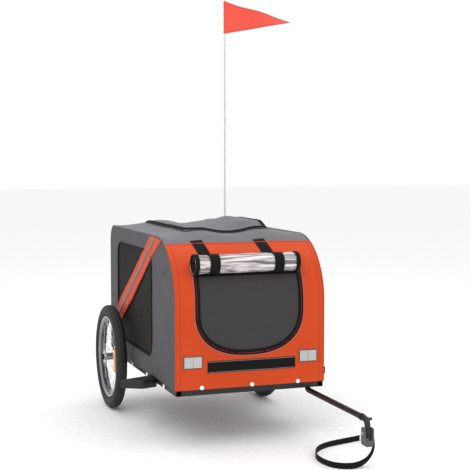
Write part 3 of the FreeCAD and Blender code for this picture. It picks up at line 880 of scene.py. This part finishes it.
    def hatch(self) -> None:
        """The zipped flap in the roof, a little puffed, with its double piping."""
        x0, x1 = self.hatch_x[0] - self.hatch_lap, self.hatch_x[1] + self.hatch_lap
        y0, y1 = self.hatch_y[0] - self.hatch_lap, self.hatch_y[1] + self.hatch_lap
        start = CABIN.rise + CABIN.front_r * math.pi / 2 - CABIN.front_r

        def spot(x: float, y: float, off: float = 0.0) -> Vector:
            return CABIN.skin(x, start + y, self.flap_lift(x, y) + off)

        def place(u: float, v: float) -> Vector:
            return spot(x0 + u * (x1 - x0), y0 + v * (y1 - y0))

        flap = warped("roof_flap", 60, 100, place, ((x1 - x0) * MM, (y1 - y0) * MM), None,
                      CLOTH_THICK)
        # The flap wears the roof's colour, painted lighter for the light on top.
        dress(flap, ROOF_PAINTED_LIGHTER, "roof_hatch", "roof_hatch")

        def edge(inset: float) -> Route:
            bend = self.flap_bend
            end = y1 - 16
            turns = [math.radians(a) for a in range(0, 91, 15)]
            left = [(x1 - inset - bend * (1 - math.cos(a)), y0 + inset + bend * (1 - math.sin(a)))
                    for a in turns]
            right = [(x0 + inset + bend * (1 - math.sin(a)), y0 + inset + bend * (1 - math.cos(a)))
                     for a in turns]
            corners = [(x1 - inset, end)] + left + right + [(x0 + inset, end)]
            spans = [math.dist(a, b) for a, b in zip(corners, corners[1:])]

            def path(t: float) -> Vector:
                run = t * sum(spans)
                for (ax, ay), (bx, by), span in zip(corners, corners[1:], spans):
                    if run <= span:
                        share = run / span
                        return spot(ax + share * (bx - ax), ay + share * (by - ay), 0.8)
                    run -= span
                return spot(*corners[-1], 0.8)
            return path

        for number, inset in enumerate((3.0, 12.0)):
            piping = tube("flap_piping_%d" % number, edge(inset), 3.4, 260, 10)
            dress(piping, BINDING, "roof_hatch")
        pull = spot(x1 - 14, y1 - 70, 1)
        slider = block("flap_zip_slider", pull - Vector((0.006, 0.010, 0)),
                       pull + Vector((0.006, 0.010, 0.005)), 1.5)
        dress(slider, STEEL, "roof_hatch")

    def side_spot(self, side: int, y: float, z: float, off: float = 0.0) -> Vector:
        """A place on a side cloth, off it outwards."""
        high = CABIN.ceiling(y)
        across = max(0.0, min(1.0, (z - CABIN.foot) / max(1.0, high - CABIN.foot)))
        along = max(0.0, min(1.0, y / CABIN.long))
        pillow = math.sin(math.pi * across) * math.sin(math.pi * along)
        crease = 5.0 * math.exp(-((z - 588
                                   + 0.5 * (y - 120)) / 9) ** 2) * math.exp(-((y - 120) / 38) ** 2)
        waves = 1.2 * ripple(y / 60, z / 55, 3.0 + side) * pillow
        return at(side * (CABIN.half + 2.2 + 1.5 * pillow + waves - crease + off), y, z)

    def sides(self) -> None:
        """Grey sides with a mesh window, its binding, the slanting strap and the sewing."""
        for name, side in (("right", -1), ("left", 1)):
            self.side(name, side)

    def side(self, name: str, side: int) -> None:
        """One side of the cabin.

        Args:
            name: right or left.
            side: -1 on the right and 1 on the left.
        """
        def spread(u: float) -> float:
            return CABIN.long * (1 - math.cos(math.pi * u)) / 2

        def place(u: float, v: float) -> Vector:
            y = spread(u)
            return self.side_spot(side, y, CABIN.foot + v * (CABIN.ceiling(y) - CABIN.foot))

        def keep(u: float, v: float) -> bool:
            y = spread(u)
            return not self.window.inside(y, CABIN.foot + v * (CABIN.ceiling(y) - CABIN.foot))

        tall = CABIN.top - CABIN.foot
        piece = warped("side_cloth_" + name, 190, 90, place, (CABIN.long * MM, tall * MM), keep)
        thicken(piece, CLOTH_THICK, side)
        dress(piece, GREY, "chassis", "side_panel_" + name)
        self.side_window(name, side)
        self.side_strap(name, side)
        self.side_edges(name, side)

    def side_window(self, name: str, side: int) -> None:
        """The mesh of a side window, the tape round it and the cover over its zip."""
        w = self.window

        def place(u: float, v: float) -> Vector:
            sag = -2.0 * math.sin(math.pi * u) * math.sin(math.pi * v)
            return self.side_spot(side, w.front + u * (w.rear - w.front),
                                  w.low + v * (w.high - w.low), sag - 0.8)

        def keep(u: float, v: float) -> bool:
            return w.inside(w.front + u * (w.rear - w.front), w.low + v * (w.high - w.low), -4)

        net = warped("side_net_" + name, 80, 60, place,
                     ((w.rear - w.front) * MM, (w.high - w.low) * MM), keep)
        thicken(net, MESH_THICK, 0.0)
        dress(net, SIDE_NET, "chassis", "side_mesh_" + name)
        out = Vector((side, 0, 0))

        def path(t: float) -> Vector:
            return self.side_spot(side, *w.rim(t if side > 0 else 1 - t), 2.4)

        binding = tape("side_window_binding_" + name, path, lambda t: out, 9, 220, 0.8, True)
        dress(binding, BINDING, "chassis")

        def cover(t: float) -> Vector:
            return self.side_spot(side, w.front + 3,
                                  w.low + w.corner + t * (w.high - w.low - 2 * w.corner), 3.6)

        flap = tape("side_zip_cover_" + name, cover, lambda t: out, 24, 90, 1.0)
        dress(flap, BINDING, "chassis")

    def side_strap(self, name: str, side: int) -> None:
        """Two orange bands with a grey reflective stripe between, down to the wheel."""
        upper = [(236, 748), (340, 686), (553, 550), (768, 424), (842, 372)]
        middle = [(222, 712), (315, 658), (470, 560), (641, 454), (822, 343)]
        lower = [(150, 704), (290, 628), (430, 537), (571, 446), (802, 314)]

        def between(line: list[tuple[float, float]], t: float) -> tuple[float, float]:
            run = t * (len(line) - 1)
            index = min(len(line) - 2, int(run))
            (ay, az), (by, bz) = line[index], line[index + 1]
            return ay + (run - index) * (by - ay), az + (run - index) * (bz - az)

        def spot(t: float, share: float, off: float) -> Vector:
            (ay, az), (by, bz) = between(lower, t), between(upper, t)
            y, z = ay + share * (by - ay), az + share * (bz - az)
            z = min(z, CABIN.ceiling(y) - 3)
            return self.side_spot(side, y, z, off)

        def band(u: float, v: float) -> Vector:
            return spot(0.02 + 0.98 * u, v, 1.6 + 1.2 * math.sin(math.pi * v))

        piece = warped("strap_orange_" + name, 110, 12, band, (0.75, 0.09))
        thicken(piece, CLOTH_THICK, side)
        dress(piece, ORANGE, "chassis", "strap_band_" + name)

        def stripe(u: float, v: float) -> Vector:
            y, z = between(middle, 0.03 + 0.97 * u)
            return self.side_spot(side, y, z + (v - 0.5) * 15, 4.2 + 0.6 * math.sin(math.pi * v))

        mark = warped("strap_stripe_" + name, 110, 4, stripe, (0.75, 0.02))
        thicken(mark, 1.2, side)
        dress(mark, STRIPE, "chassis")
        out = Vector((side, 0, 0))
        for number, share in enumerate((0.06, 0.94)):
            line = stitches("strap_sewing_%s_%d" % (name, number),
                            lambda t, k=share: spot(0.03 + 0.96 * t, k, 3.0), lambda t: out, 740)
            dress(line, THREAD_ORANGE, "chassis")

    def side_edges(self, name: str, side: int) -> None:
        """The welt along the cabin's corner and the sewing beside it."""
        def corner(t: float) -> Vector:
            run = t * CABIN.end
            return CABIN.skin(side * CABIN.half, run) + Vector((side * 1.2 * MM, 0, 0))

        # The roof welt wears the roof's colour, painted lighter for the light on top.
        parts = (("front", 0.0, CABIN.seam, ORANGE, THREAD_ORANGE),
                 ("roof", CABIN.seam, CABIN.end, ROOF_PAINTED_LIGHTER, THREAD_GREY))
        for word, start, stop, finish, thread in parts:
            def share(t: float, low: float = start / CABIN.end,
                      high: float = stop / CABIN.end) -> float:
                return low + t * (high - low)

            welt = tube("corner_welt_%s_%s" % (word, name), lambda t: corner(share(t)), 2.4, 120, 8,
                        up=Vector((side, 0, 0)))
            dress(welt, finish, "chassis")
            sewing = stitches("corner_sewing_%s_%s" % (word, name),
                              lambda t: CABIN.skin(side * (CABIN.half - 15), share(t) * CABIN.end,
                                                   0.4),
                              lambda t: self.normal(share(t) * CABIN.end), stop - start)
            dress(sewing, thread, "chassis")

    def rear(self) -> None:
        """The rear cloth, its zipped door and the webbing end at its corner."""
        y = CABIN.long

        def hang(t: float) -> Vector:
            return at(-CABIN.half + 16, y + 4 + 8 * math.sin(2.4 * t), CABIN.top - 22 - 62 * t)

        tail = tape("rear_corner_webbing", hang, lambda t: Vector((0, 1, 0)), 26, 30, 1.4)
        dress(tail, BINDING, "chassis")
        top = CABIN.top - CABIN.rear_r
        half, foot, head = self.rear_opening
        wide, low, tall = self.rear_flap

        def place(u: float, v: float) -> Vector:
            return at((2 * u - 1) * CABIN.half, y + 0.4, CABIN.foot + v * (top - CABIN.foot))

        def keep(u: float, v: float) -> bool:
            x, z = (2 * u - 1) * CABIN.half, CABIN.foot + v * (top - CABIN.foot)
            return not (abs(x) < half and foot < z < head)

        piece = warped("rear_cloth", 100, 84, place, (2 * CABIN.half * MM, (top - CABIN.foot) * MM),
                       keep)
        thicken(piece, CLOTH_THICK, 1.0)
        dress(piece, GREY, "chassis", "rear_panel")

        def door(u: float, v: float) -> Vector:
            bow = 5 * math.sin(math.pi * u) * math.sin(math.pi * v)
            bow += 1.2 * ripple(u * 6, v * 7, 4.0)
            return at((u - 0.5) * wide, y + 4.5 + max(0.0, bow), low + tall * v)

        flap = warped("rear_door_cloth", 60, 70, door, (wide * MM, tall * MM))
        thicken(flap, CLOTH_THICK, 1.0)
        dress(flap, ORANGE, "rear_door", "rear_door")

        def loop(t: float) -> Vector:
            shape = SideWindow(-172, 172, 238, 643, 12)
            x, z = shape.rim(t)
            return at(-x, y + 4.5, z)

        dress(tape("rear_door_binding", loop, lambda t: Vector((0, 1, 0)), 11, 220, 0.8, True),
              BINDING, "rear_door")
        for side in (-1, 1):
            strip = tape("rear_corner_webbing_%s" % ("right" if side < 0 else "left"),
                         lambda t, k=side: at(k * 257, y + 0.8, 607 + 38 * t),
                         lambda t: Vector((0, 1, 0)),
                         20, 12, 1.2)
            dress(strip, BINDING, "chassis")

    def floor(self) -> None:
        """The quilted mat on the floor board."""
        low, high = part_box("floor_mat")

        def place(u: float, v: float) -> Vector:
            quilt = abs(math.sin(u * math.pi * 5)) ** 0.4 * abs(math.sin(v * math.pi * 9)) ** 0.4
            return Vector((low.x + u * (high.x - low.x), low.y + v * (high.y - low.y),
                           high.z - 0.005 + 0.007 * quilt))

        piece = warped("quilted_mat", 80, 140, place, (high.x - low.x, high.y - low.y))
        thicken(piece, MAT_THICK, -1.0)
        dress(piece, MAT, "chassis", "floor_mat")

    def build(self) -> None:
        """Makes all the cabin's cloth."""
        self.front()
        self.front_window()
        self.roof()
        self.hatch()
        self.sides()
        self.rear()
        self.floor()


# ---------------------------------------------------------------- the front's fittings
@dataclass
class FrontFittings:
    """The rolled rain cover with its straps, reflectors, hook strip and snaps."""

    strap_x: tuple[float, float] = (-152.0, 78.0)
    strap_wide: float = 35.0
    strap_lean: float = 12.0

    def roll(self) -> None:
        """The rolled cover: wound film with loose layers and black bound ends."""
        low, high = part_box("rain_cover_roll")
        middle, radius = (low + high) / 2, (high.z - low.z) / 2 / MM
        long = (high.x - low.x) / MM

        def path(t: float) -> Vector:
            return Vector((low.x + t * (high.x - low.x), middle.y, middle.z))

        def place(u: float, v: float) -> Vector:
            turn = TAU * v
            x = -0.5 + u
            pinch = sum(2.6 * math.exp(-((low.x / MM + u * long - (SHIFT.x / MM) - s
                                          - 17) / 26) ** 2)
                        for s in self.strap_x)
            wave = 1.6 * ripple(x * 9, math.cos(turn) * 2.2, 0.7) + 0.9 * math.sin(turn * 5 + x * 4)
            step = 1.8 * smooth(0.0, 0.06, v) - 1.8 * smooth(0.94, 1.0, v)
            r = (radius - 2.6 + step + wave * 0.8 - pinch) * MM
            return path(u) + Vector((0, r * math.cos(turn), r * math.sin(turn)))

        piece = warped("rain_cover", 120, 60, place, (long * MM, 0.2))
        tidy_mesh(piece)
        dress(piece, VINYL, "chassis", "rain_cover_roll")
        for number, t in enumerate((0.0, 1.0)):
            self.roll_end(number, path(t), radius, -1 if number == 0 else 1)

    def roll_end(self, number: int, middle: Vector, radius: float, side: int) -> None:
        """A bound end of the roll: the tape's turns, wound inwards."""
        def spiral(t: float) -> Vector:
            turn = TAU * 4.2 * t
            r = (radius - 2.0) * (1 - 0.82 * t) * MM
            return middle + Vector((-side * 3.0 * MM, r * math.cos(turn), r * math.sin(turn)))

        dress(tube("roll_binding_%d" % number, spiral, 3.6, 240, 8, up=Vector((1, 0, 0))),
              BINDING, "chassis")

        def hoop(t: float) -> Vector:
            turn = TAU * t
            r = (radius + 0.9) * MM
            return middle + Vector((-side * 8 * MM, r * math.cos(turn), r * math.sin(turn)))

        band = tape("roll_end_tape_%d" % number, hoop,
                    lambda t: about_x(TAU * t), 15, 72, 0.9, True)
        dress(band, BINDING, "chassis")

    def straps(self) -> None:
        """The two hook-and-loop straps round the roll, sewn to the front above it."""
        low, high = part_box("rain_cover_roll")
        middle, radius = (low + high) / 2, (high.z - low.z) / 2 / MM
        bands = []
        for number, start in enumerate(self.strap_x):
            def loop(t: float, s: float = start) -> Vector:
                turn = TAU * t
                r = (radius + 0.2) * MM
                near = max(0.0, math.cos(turn - math.radians(-33.7)))
                r -= 0.0012 * near
                return Vector((SHIFT.x + (s + self.strap_wide / 2) * MM,
                               middle.y + r * math.cos(turn),
                               middle.z + r * math.sin(turn)))

            band = tape("roll_strap_%d" % number, loop,
                        lambda t: about_x(TAU * t),
                        self.strap_wide, 72, 0.6, True)
            bands.append(band)

            def tab(t: float, s: float = start) -> Vector:
                z = 612 + t * 82
                lean = self.strap_lean * (2 * t - 0.4)
                return CABIN.skin(s + self.strap_wide / 2 - lean, CABIN.run_at(z), 0.3)

            patch = tape("roll_tab_%d" % number, tab, lambda t: Vector((0, -0.6, 0.8)),
                         self.strap_wide + 8, 20, 1.0)
            dress(patch, BINDING, "chassis")
        dress(bands[0], BINDING, "chassis", "roll_straps")
        dress(bands[1], BINDING, "chassis")

    def reflectors(self) -> None:
        """Two reflectors in dark frames, their halves a shade apart."""
        for number, x in enumerate((-242, 175)):
            rim = block("reflector_frame_%d" % number, at(x, -3.0, 279), at(x + 67, 0.3, 322), 1.4)
            dress(rim, GREY_NYLON, "chassis", *(("panel_reflectors",) if number == 0 else ()))
            for part in (0, 1):
                lens = block("reflector_lens_%d_%d" % (number, part),
                             at(x + 3 + part * 31, -4.6, 282),
                             at(x + 33 + part * 31, -2.0, 319), 1.0)
                dress(lens, WHITE_LENS, "chassis")

    def hook_strip(self) -> None:
        """The long hook strip below the window, where the cover's foot fastens."""
        piece = tape("hook_strip_tape", lambda t: CABIN.skin(-157 + 318 * t, 281 - CABIN.foot),
                     lambda t: Vector((0, -1, 0)), 40, 60, 1.2)
        dress(piece, BINDING, "chassis", "hook_strip")
        for number, z in enumerate((263.5, 298.5)):
            line = stitches("hook_strip_sewing_%d" % number,
                            lambda t, k=z: CABIN.skin(-154 + 312 * t, k - CABIN.foot, 1.8),
                            lambda t: Vector((0, -1, 0)), 312)
            dress(line, THREAD_GREY, "chassis")

    def snaps(self) -> None:
        """White snap caps along the foot of the front and sides."""
        dome = [(0.0, 0.0), (0.0, 7.5), (1.4, 7.3), (2.8, 6.0), (3.6, 3.6), (3.4, 1.6), (3.0, 0.0)]
        foot = 213
        made = []
        for number, x in enumerate((-177, 3, 172)):
            piece = turned("snap_front_%d" % number, dome, Vector((0, 0, 0)), 24, False)
            for vertex in piece.data.vertices:
                co = vertex.co.copy()
                vertex.co = at(x, -0.2, foot) + Vector((co.y, -co.x, co.z))
            made.append(piece)
        for side, name in ((-1, "right"), (1, "left")):
            for number, y in enumerate((149, 375, 590)):
                outline = [(side * off, r) for off, r in dome]
                made.append(turned("snap_%s_%d" % (name, number), outline,
                                   at(side * CABIN.half, y, 195.5), 24, False))
        for index, piece in enumerate(made):
            tidy_mesh(piece)
            dress(piece, WHITE_CAP, "chassis", *(("snap_buttons",) if index == 0 else ()))

    def build(self) -> None:
        """Makes all the fittings on the front."""
        self.roll()
        self.straps()
        self.reflectors()
        self.hook_strip()
        self.snaps()


# ---------------------------------------------------------------- wheels
@dataclass
class Wheel:
    """One spoked wheel with its tyre, nipples, reflector and axle nut."""

    name: str
    side: int
    ring: float = 179.5
    section: float = 22.6

    @property
    def centre(self) -> Vector:
        """The wheel's middle."""
        low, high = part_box("tyre_" + self.name)
        return (low + high) / 2

    def tyre(self) -> None:
        """The tyre: a round carcass with a raised ribbed tread and sipes."""
        centre = self.centre

        def place(u: float, v: float) -> Vector:
            turn, around = TAU * u, TAU * v
            out = math.cos(around)
            tread = smooth(0.45, 0.62, out)
            block_row = 1.0 if math.sin(turn * 66
                                        + (1.2 if math.sin(around) > 0 else 0)) > -0.55 else 0.0
            groove = 1.0 if abs(math.sin(around)) > 0.13 else 0.0
            rise = tread * (0.4 + 1.2 * block_row * groove) - 1.2
            r = self.section + rise
            radial = self.ring + r * out
            if out < -0.80:
                radial = max(radial, self.ring - 21.5)
            return centre + Vector((r * math.sin(around), radial * math.cos(turn),
                                    radial * math.sin(turn))) * MM

        piece = warped("tread_" + self.name, 528, 64, place, (1.2, 0.14))
        tidy_mesh(piece)
        dress(piece, TYRE_RUBBER, "wheel_" + self.name, "tyre_" + self.name)

    def details(self) -> None:
        """Spoke nipples, the valve, the amber reflector and the axle's nut."""
        body = "wheel_" + self.name
        base = self.ring - 33.5
        nipples = []
        for index in range(28):
            around = TAU * index / 28
            flange = 24.5 if index % 2 else -24.5
            aim = about_x(around)
            foot = self.centre + aim * ((base - 11) * MM) + Vector((flange * 0.14 * MM, 0, 0))
            nipples.append(tube("nipple", lambda t, a=aim, f=foot: f + a * (0.012 * t), 2.2, 5, 6,
                                up=Vector((1, 0, 0)), swell=lambda t: 0.7 + 0.5 * t))
        deselect()
        for piece in nipples:
            piece.select_set(True)
        bpy.context.view_layer.objects.active = nipples[0]
        bpy.ops.object.join()
        joined = bpy.context.object
        joined.name = "spoke_nipples_" + self.name
        dress(joined, ALLOY, body)
        aim = about_x(2.3)
        valve = tube("valve_" + self.name,
                     lambda t: self.centre + aim * ((base - 26 + 27 * t) * MM), 3.4, 12, 12,
                     up=Vector((1, 0, 0)), swell=lambda t: 0.75 if t < 0.35 else 1.0)
        dress(valve, BLACK_NYLON, body)
        low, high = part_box("spoke_reflector_" + self.name)
        lens = block("reflector_" + self.name, low, high, 3.2, 4)
        dress(lens, AMBER, body, "spoke_reflector_" + self.name)
        cap = [(self.side * off, r) for off,
               r in ((29.7, 0), (29.7, 12.5), (33, 13), (39.5, 12), (41, 9.5), (41, 3.4))]
        nut = turned("axle_nut_" + self.name, cap, self.centre, 6, False)
        dress(nut, BLACK_NYLON, "chassis")

    def build(self) -> None:
        """Makes the wheel's pieces and finishes its CAD nodes."""
        self.tyre()
        self.details()
        for word, finish in (("rim_", ALLOY), ("hub_", HUB_ALLOY), ("wheel_bearings_", STEEL),
                             ("spokes_", STEEL),
                             ("inner_tube_", TUBE_RUBBER), ("axle_", STEEL),
                             ("quick_release_button_", STEEL),
                             ("axle_receiver_", FRAME_PAINT)):
            dress_node(word + self.name, finish)


# ---------------------------------------------------------------- chassis, drawbar and flag
@dataclass
class Chassis:
    """The base rails, hoops, guards and the drawbar's bracket."""

    def build(self) -> None:
        """Rounds the rails and guards and finishes the frame."""
        for node in ("base_rail_right", "base_rail_left", "base_rail_front", "base_rail_rear"):
            dress(softened(node, 1.2), FRAME_PAINT, "chassis")
        for node in ("wheel_guard_right", "wheel_guard_left"):
            dress(softened(node, 5.0), BLACK_NYLON, "chassis")
        dress(softened("drawbar_bracket", 1.0), FRAME_PAINT, "chassis")
        dress(softened("flag_holders", 2.0), BLACK_NYLON, "chassis")
        for node in ("frame_hoop_right", "frame_hoop_left", "frame_crossbars"):
            dress_node(node, FRAME_PAINT)
        dress_node("floor_board", BOARD)


@dataclass
class Drawbar:
    """The drawbar's coupler and its loose safety strap, in mm."""

    strap_wide: float = 20.0

    def route(self) -> list[Vector]:
        """The strap's route from its lug down to the floor and round to its ring."""
        low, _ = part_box("strap_clip")
        lug = at(252, -390, low.z / MM)
        rest = [(252, -390, 138), (266, -388, 112), (275, -382, 80), (276, -370, 48),
                (262, -362, 24),
                (236, -366, 12), (205, -374, 10), (172, -364, 10), (148, -336, 10), (138, -292, 10),
                (138, -246, 10), (152, -198, 10), (176, -156, 10), (210, -122, 10), (252, -100, 10),
                (298, -86, 10), (342, -74, 10), (380, -62, 10)]
        return [lug] + [at(*point) for point in rest]

    def centre_line(self) -> list[Vector]:
        """Points along the strap's smooth line, read from its spline."""
        curve = bpy.data.curves.new("strap_line", "CURVE")
        curve.dimensions = "3D"
        spline = curve.splines.new("NURBS")
        route = self.route()
        spline.points.add(len(route) - 1)
        for point, place in zip(spline.points, route):
            point.co = (*place, 1.0)
        spline.order_u = 3
        spline.use_endpoint_u = True
        spline.resolution_u = 12
        holder = bpy.data.objects.new("strap_line", curve)
        bpy.context.scene.collection.objects.link(holder)
        mesh = bpy.data.meshes.new_from_object(holder)
        line = [vertex.co.copy() for vertex in mesh.vertices]
        bpy.data.objects.remove(holder)
        bpy.data.meshes.remove(mesh)
        return line

    def strap(self) -> None:
        """The flat webbing strap: edge on down the coupler, then on its edge on the floor."""
        line = self.centre_line()
        spans = [(b - a).length for a, b in zip(line, line[1:])]
        total = sum(spans)

        def path(t: float) -> Vector:
            run = t * total
            for a, b, span in zip(line, line[1:], spans):
                if run <= span:
                    return a.lerp(b, run / span if span else 0.0)
                run -= span
            return line[-1]

        def wide(t: float) -> Vector:
            ahead = (path(min(1.0, t + 0.01)) - path(max(0.0, t - 0.01))).normalized()
            lean = smooth(0.10, 0.42, t)
            aim = Vector((0.15, 1.0, 0.0)).lerp(Vector((0, 0, 1)), lean)
            return (aim - ahead * aim.dot(ahead)).normalized()

        def place(u: float, v: float) -> Vector:
            return path(u) + wide(u) * ((v - 0.5) * (self.strap_wide - 0.6) * MM)

        piece = warped("safety_strap_webbing", 260, 8, place, (total, self.strap_wide * MM))
        thicken(piece, CLOTH_THICK, 0.0)
        dress(piece, BINDING, "drawbar", "safety_strap")
        end, ahead = line[-1], (line[-1] - line[-2]).normalized()

        def ring_path(t: float) -> Vector:
            turn = TAU * t
            across = ahead * (0.0045 + 0.0045 * math.cos(turn))
            return end + across + Vector((0, 0, 0.0082 * math.sin(turn)))

        side = ahead.cross(Vector((0, 0, 1)))
        ring = tube("strap_end_ring", ring_path, 1.6, 48, 10, True, up=side)
        dress(ring, NICKEL, "drawbar", "strap_ring")
        tuple(line[0])

    def build(self) -> None:
        """Makes the strap and finishes the drawbar and coupler."""
        self.strap()
        dress_node("drawbar_tube", BAR_PAINT)
        dress(softened("drawbar_pivot_cap", 1.5), BLACK_NYLON, "drawbar")
        dress(softened("strap_clip", 1.5), BLACK_NYLON, "drawbar")
        dress(softened("coupler_block", 3.5), GREY_NYLON, "coupler")
        dress(softened("coupler_pin", 0.8), STEEL, "coupler")


@dataclass
class Flag:
    """The pole and its waving pennant."""

    sleeve: float = 5.25
    tip_drop: float = 76.0

    def build(self) -> None:
        """Makes the pennant with its hems and sleeve, and finishes the pole."""
        low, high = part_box("flag_pennant")
        pole_low, pole_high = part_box("flag_pole")
        axis = (pole_low + pole_high) / 2
        long, drop = high.x - axis.x, high.z - low.z

        def spot(u: float, v: float) -> Vector:
            edge_low = low.z + u * (high.z - self.tip_drop * MM - low.z)
            edge_high = high.z - u * self.tip_drop * MM
            wave = 0.009 * math.sin(u * 7.5 + v * 0.8) * smooth(0.0, 0.5, u)
            return Vector((axis.x + 0.002 + u * (long - 0.002), axis.y + wave,
                           edge_low + v * (edge_high - edge_low) * (1 - 0.02 * math.sin(u * 9))))

        piece = warped("pennant_cloth", 90, 30, spot, (long, drop))
        tidy_mesh(piece, outward=False)
        thicken(piece, PENNANT_THICK, 0.0)
        dress(piece, PENNANT, "flag", "flag_pennant")
        for number, height in enumerate((0.05, 0.95)):
            line = tube("pennant_hem_%d" % number, lambda t, k=height: spot(0.02 + 0.94 * t, k),
                        1.0, 120, 6)
            dress(line, THREAD_ORANGE, "flag")
        sleeve = tube("pennant_sleeve", lambda t: Vector((axis.x, axis.y, low.z + t * drop)),
                      self.sleeve,
                      30, 20, up=Vector((1, 0, 0)), swell=lambda t: 1 + 0.06 * math.sin(t * 23))
        dress(sleeve, PENNANT, "flag")
        dress_node("flag_pole", POLE_WHITE)


# ---------------------------------------------------------------- stage
# The view fitted to the photograph: lens and sensor in mm, the place in the trailer's own
# mm, and how far the view dips below level and turns from straight ahead, in degrees.
CAMERA_LENS = 84.66
CAMERA_SENSOR = 36.0
CAMERA_PLACE = (-1292.9, -3496.1, 987.1)
CAMERA_DIP = 4.04
CAMERA_TURN = 19.44
# Each lamp's name, place and size in metres, and power in watts; all aim at one height.
LAMPS = (("key", (-2.4, -3.0, 3.6), 2.2, 55.0), ("top", (0.4, 0.3, 4.0), 4.0, 40.0),
         ("fill", (3.2, -2.2, 1.6), 2.5, 14.0))
LAMP_AIM = 0.4


def stage() -> None:
    """Pale floor, soft studio light and the camera."""
    deselect()
    bpy.ops.mesh.primitive_plane_add(size=60, location=(0, 0, -0.0005))
    floor = bpy.context.object
    floor.name = "studio_floor"
    paper = Finish("white paper floor", "#FCFCFC", "", 0.9)
    floor.data.materials.append(paper.material())
    world = bpy.data.worlds.new("studio")
    bpy.context.scene.world = world
    world.use_nodes = True
    background = world.node_tree.nodes["Background"]
    fill(background, {"Color": colour("#FFFFFF"), "Strength": 1.0})
    for name, place, size, power in LAMPS:
        lamp = bpy.data.lights.new(name, "AREA")
        lamp.size = size
        lamp.energy = power
        holder = bpy.data.objects.new(name, lamp)
        holder.location = place
        aim = Vector((0, 0, LAMP_AIM)) - Vector(place)
        holder.rotation_euler = aim.to_track_quat("-Z", "Y").to_euler()
        bpy.context.scene.collection.objects.link(holder)
    bpy.context.scene.view_settings.view_transform = "Standard"
    lens = bpy.data.cameras.new("camera")
    lens.lens = CAMERA_LENS
    lens.sensor_width = CAMERA_SENSOR
    camera = bpy.data.objects.new("camera", lens)
    camera.location = at(*CAMERA_PLACE)
    camera.rotation_euler = (math.radians(90 - CAMERA_DIP), 0, math.radians(-CAMERA_TURN))
    bpy.context.scene.collection.objects.link(camera)
    bpy.context.scene.camera = camera


def main() -> None:
    """Builds every sub-assembly in order."""
    logging.basicConfig(level=logging.INFO)
    Cloths().build()
    FrontFittings().build()
    Wheel("right", -1).build()
    Wheel("left", 1).build()
    Chassis().build()
    Drawbar().build()
    Flag().build()
    stage()


if __name__ == "__main__":
    main()
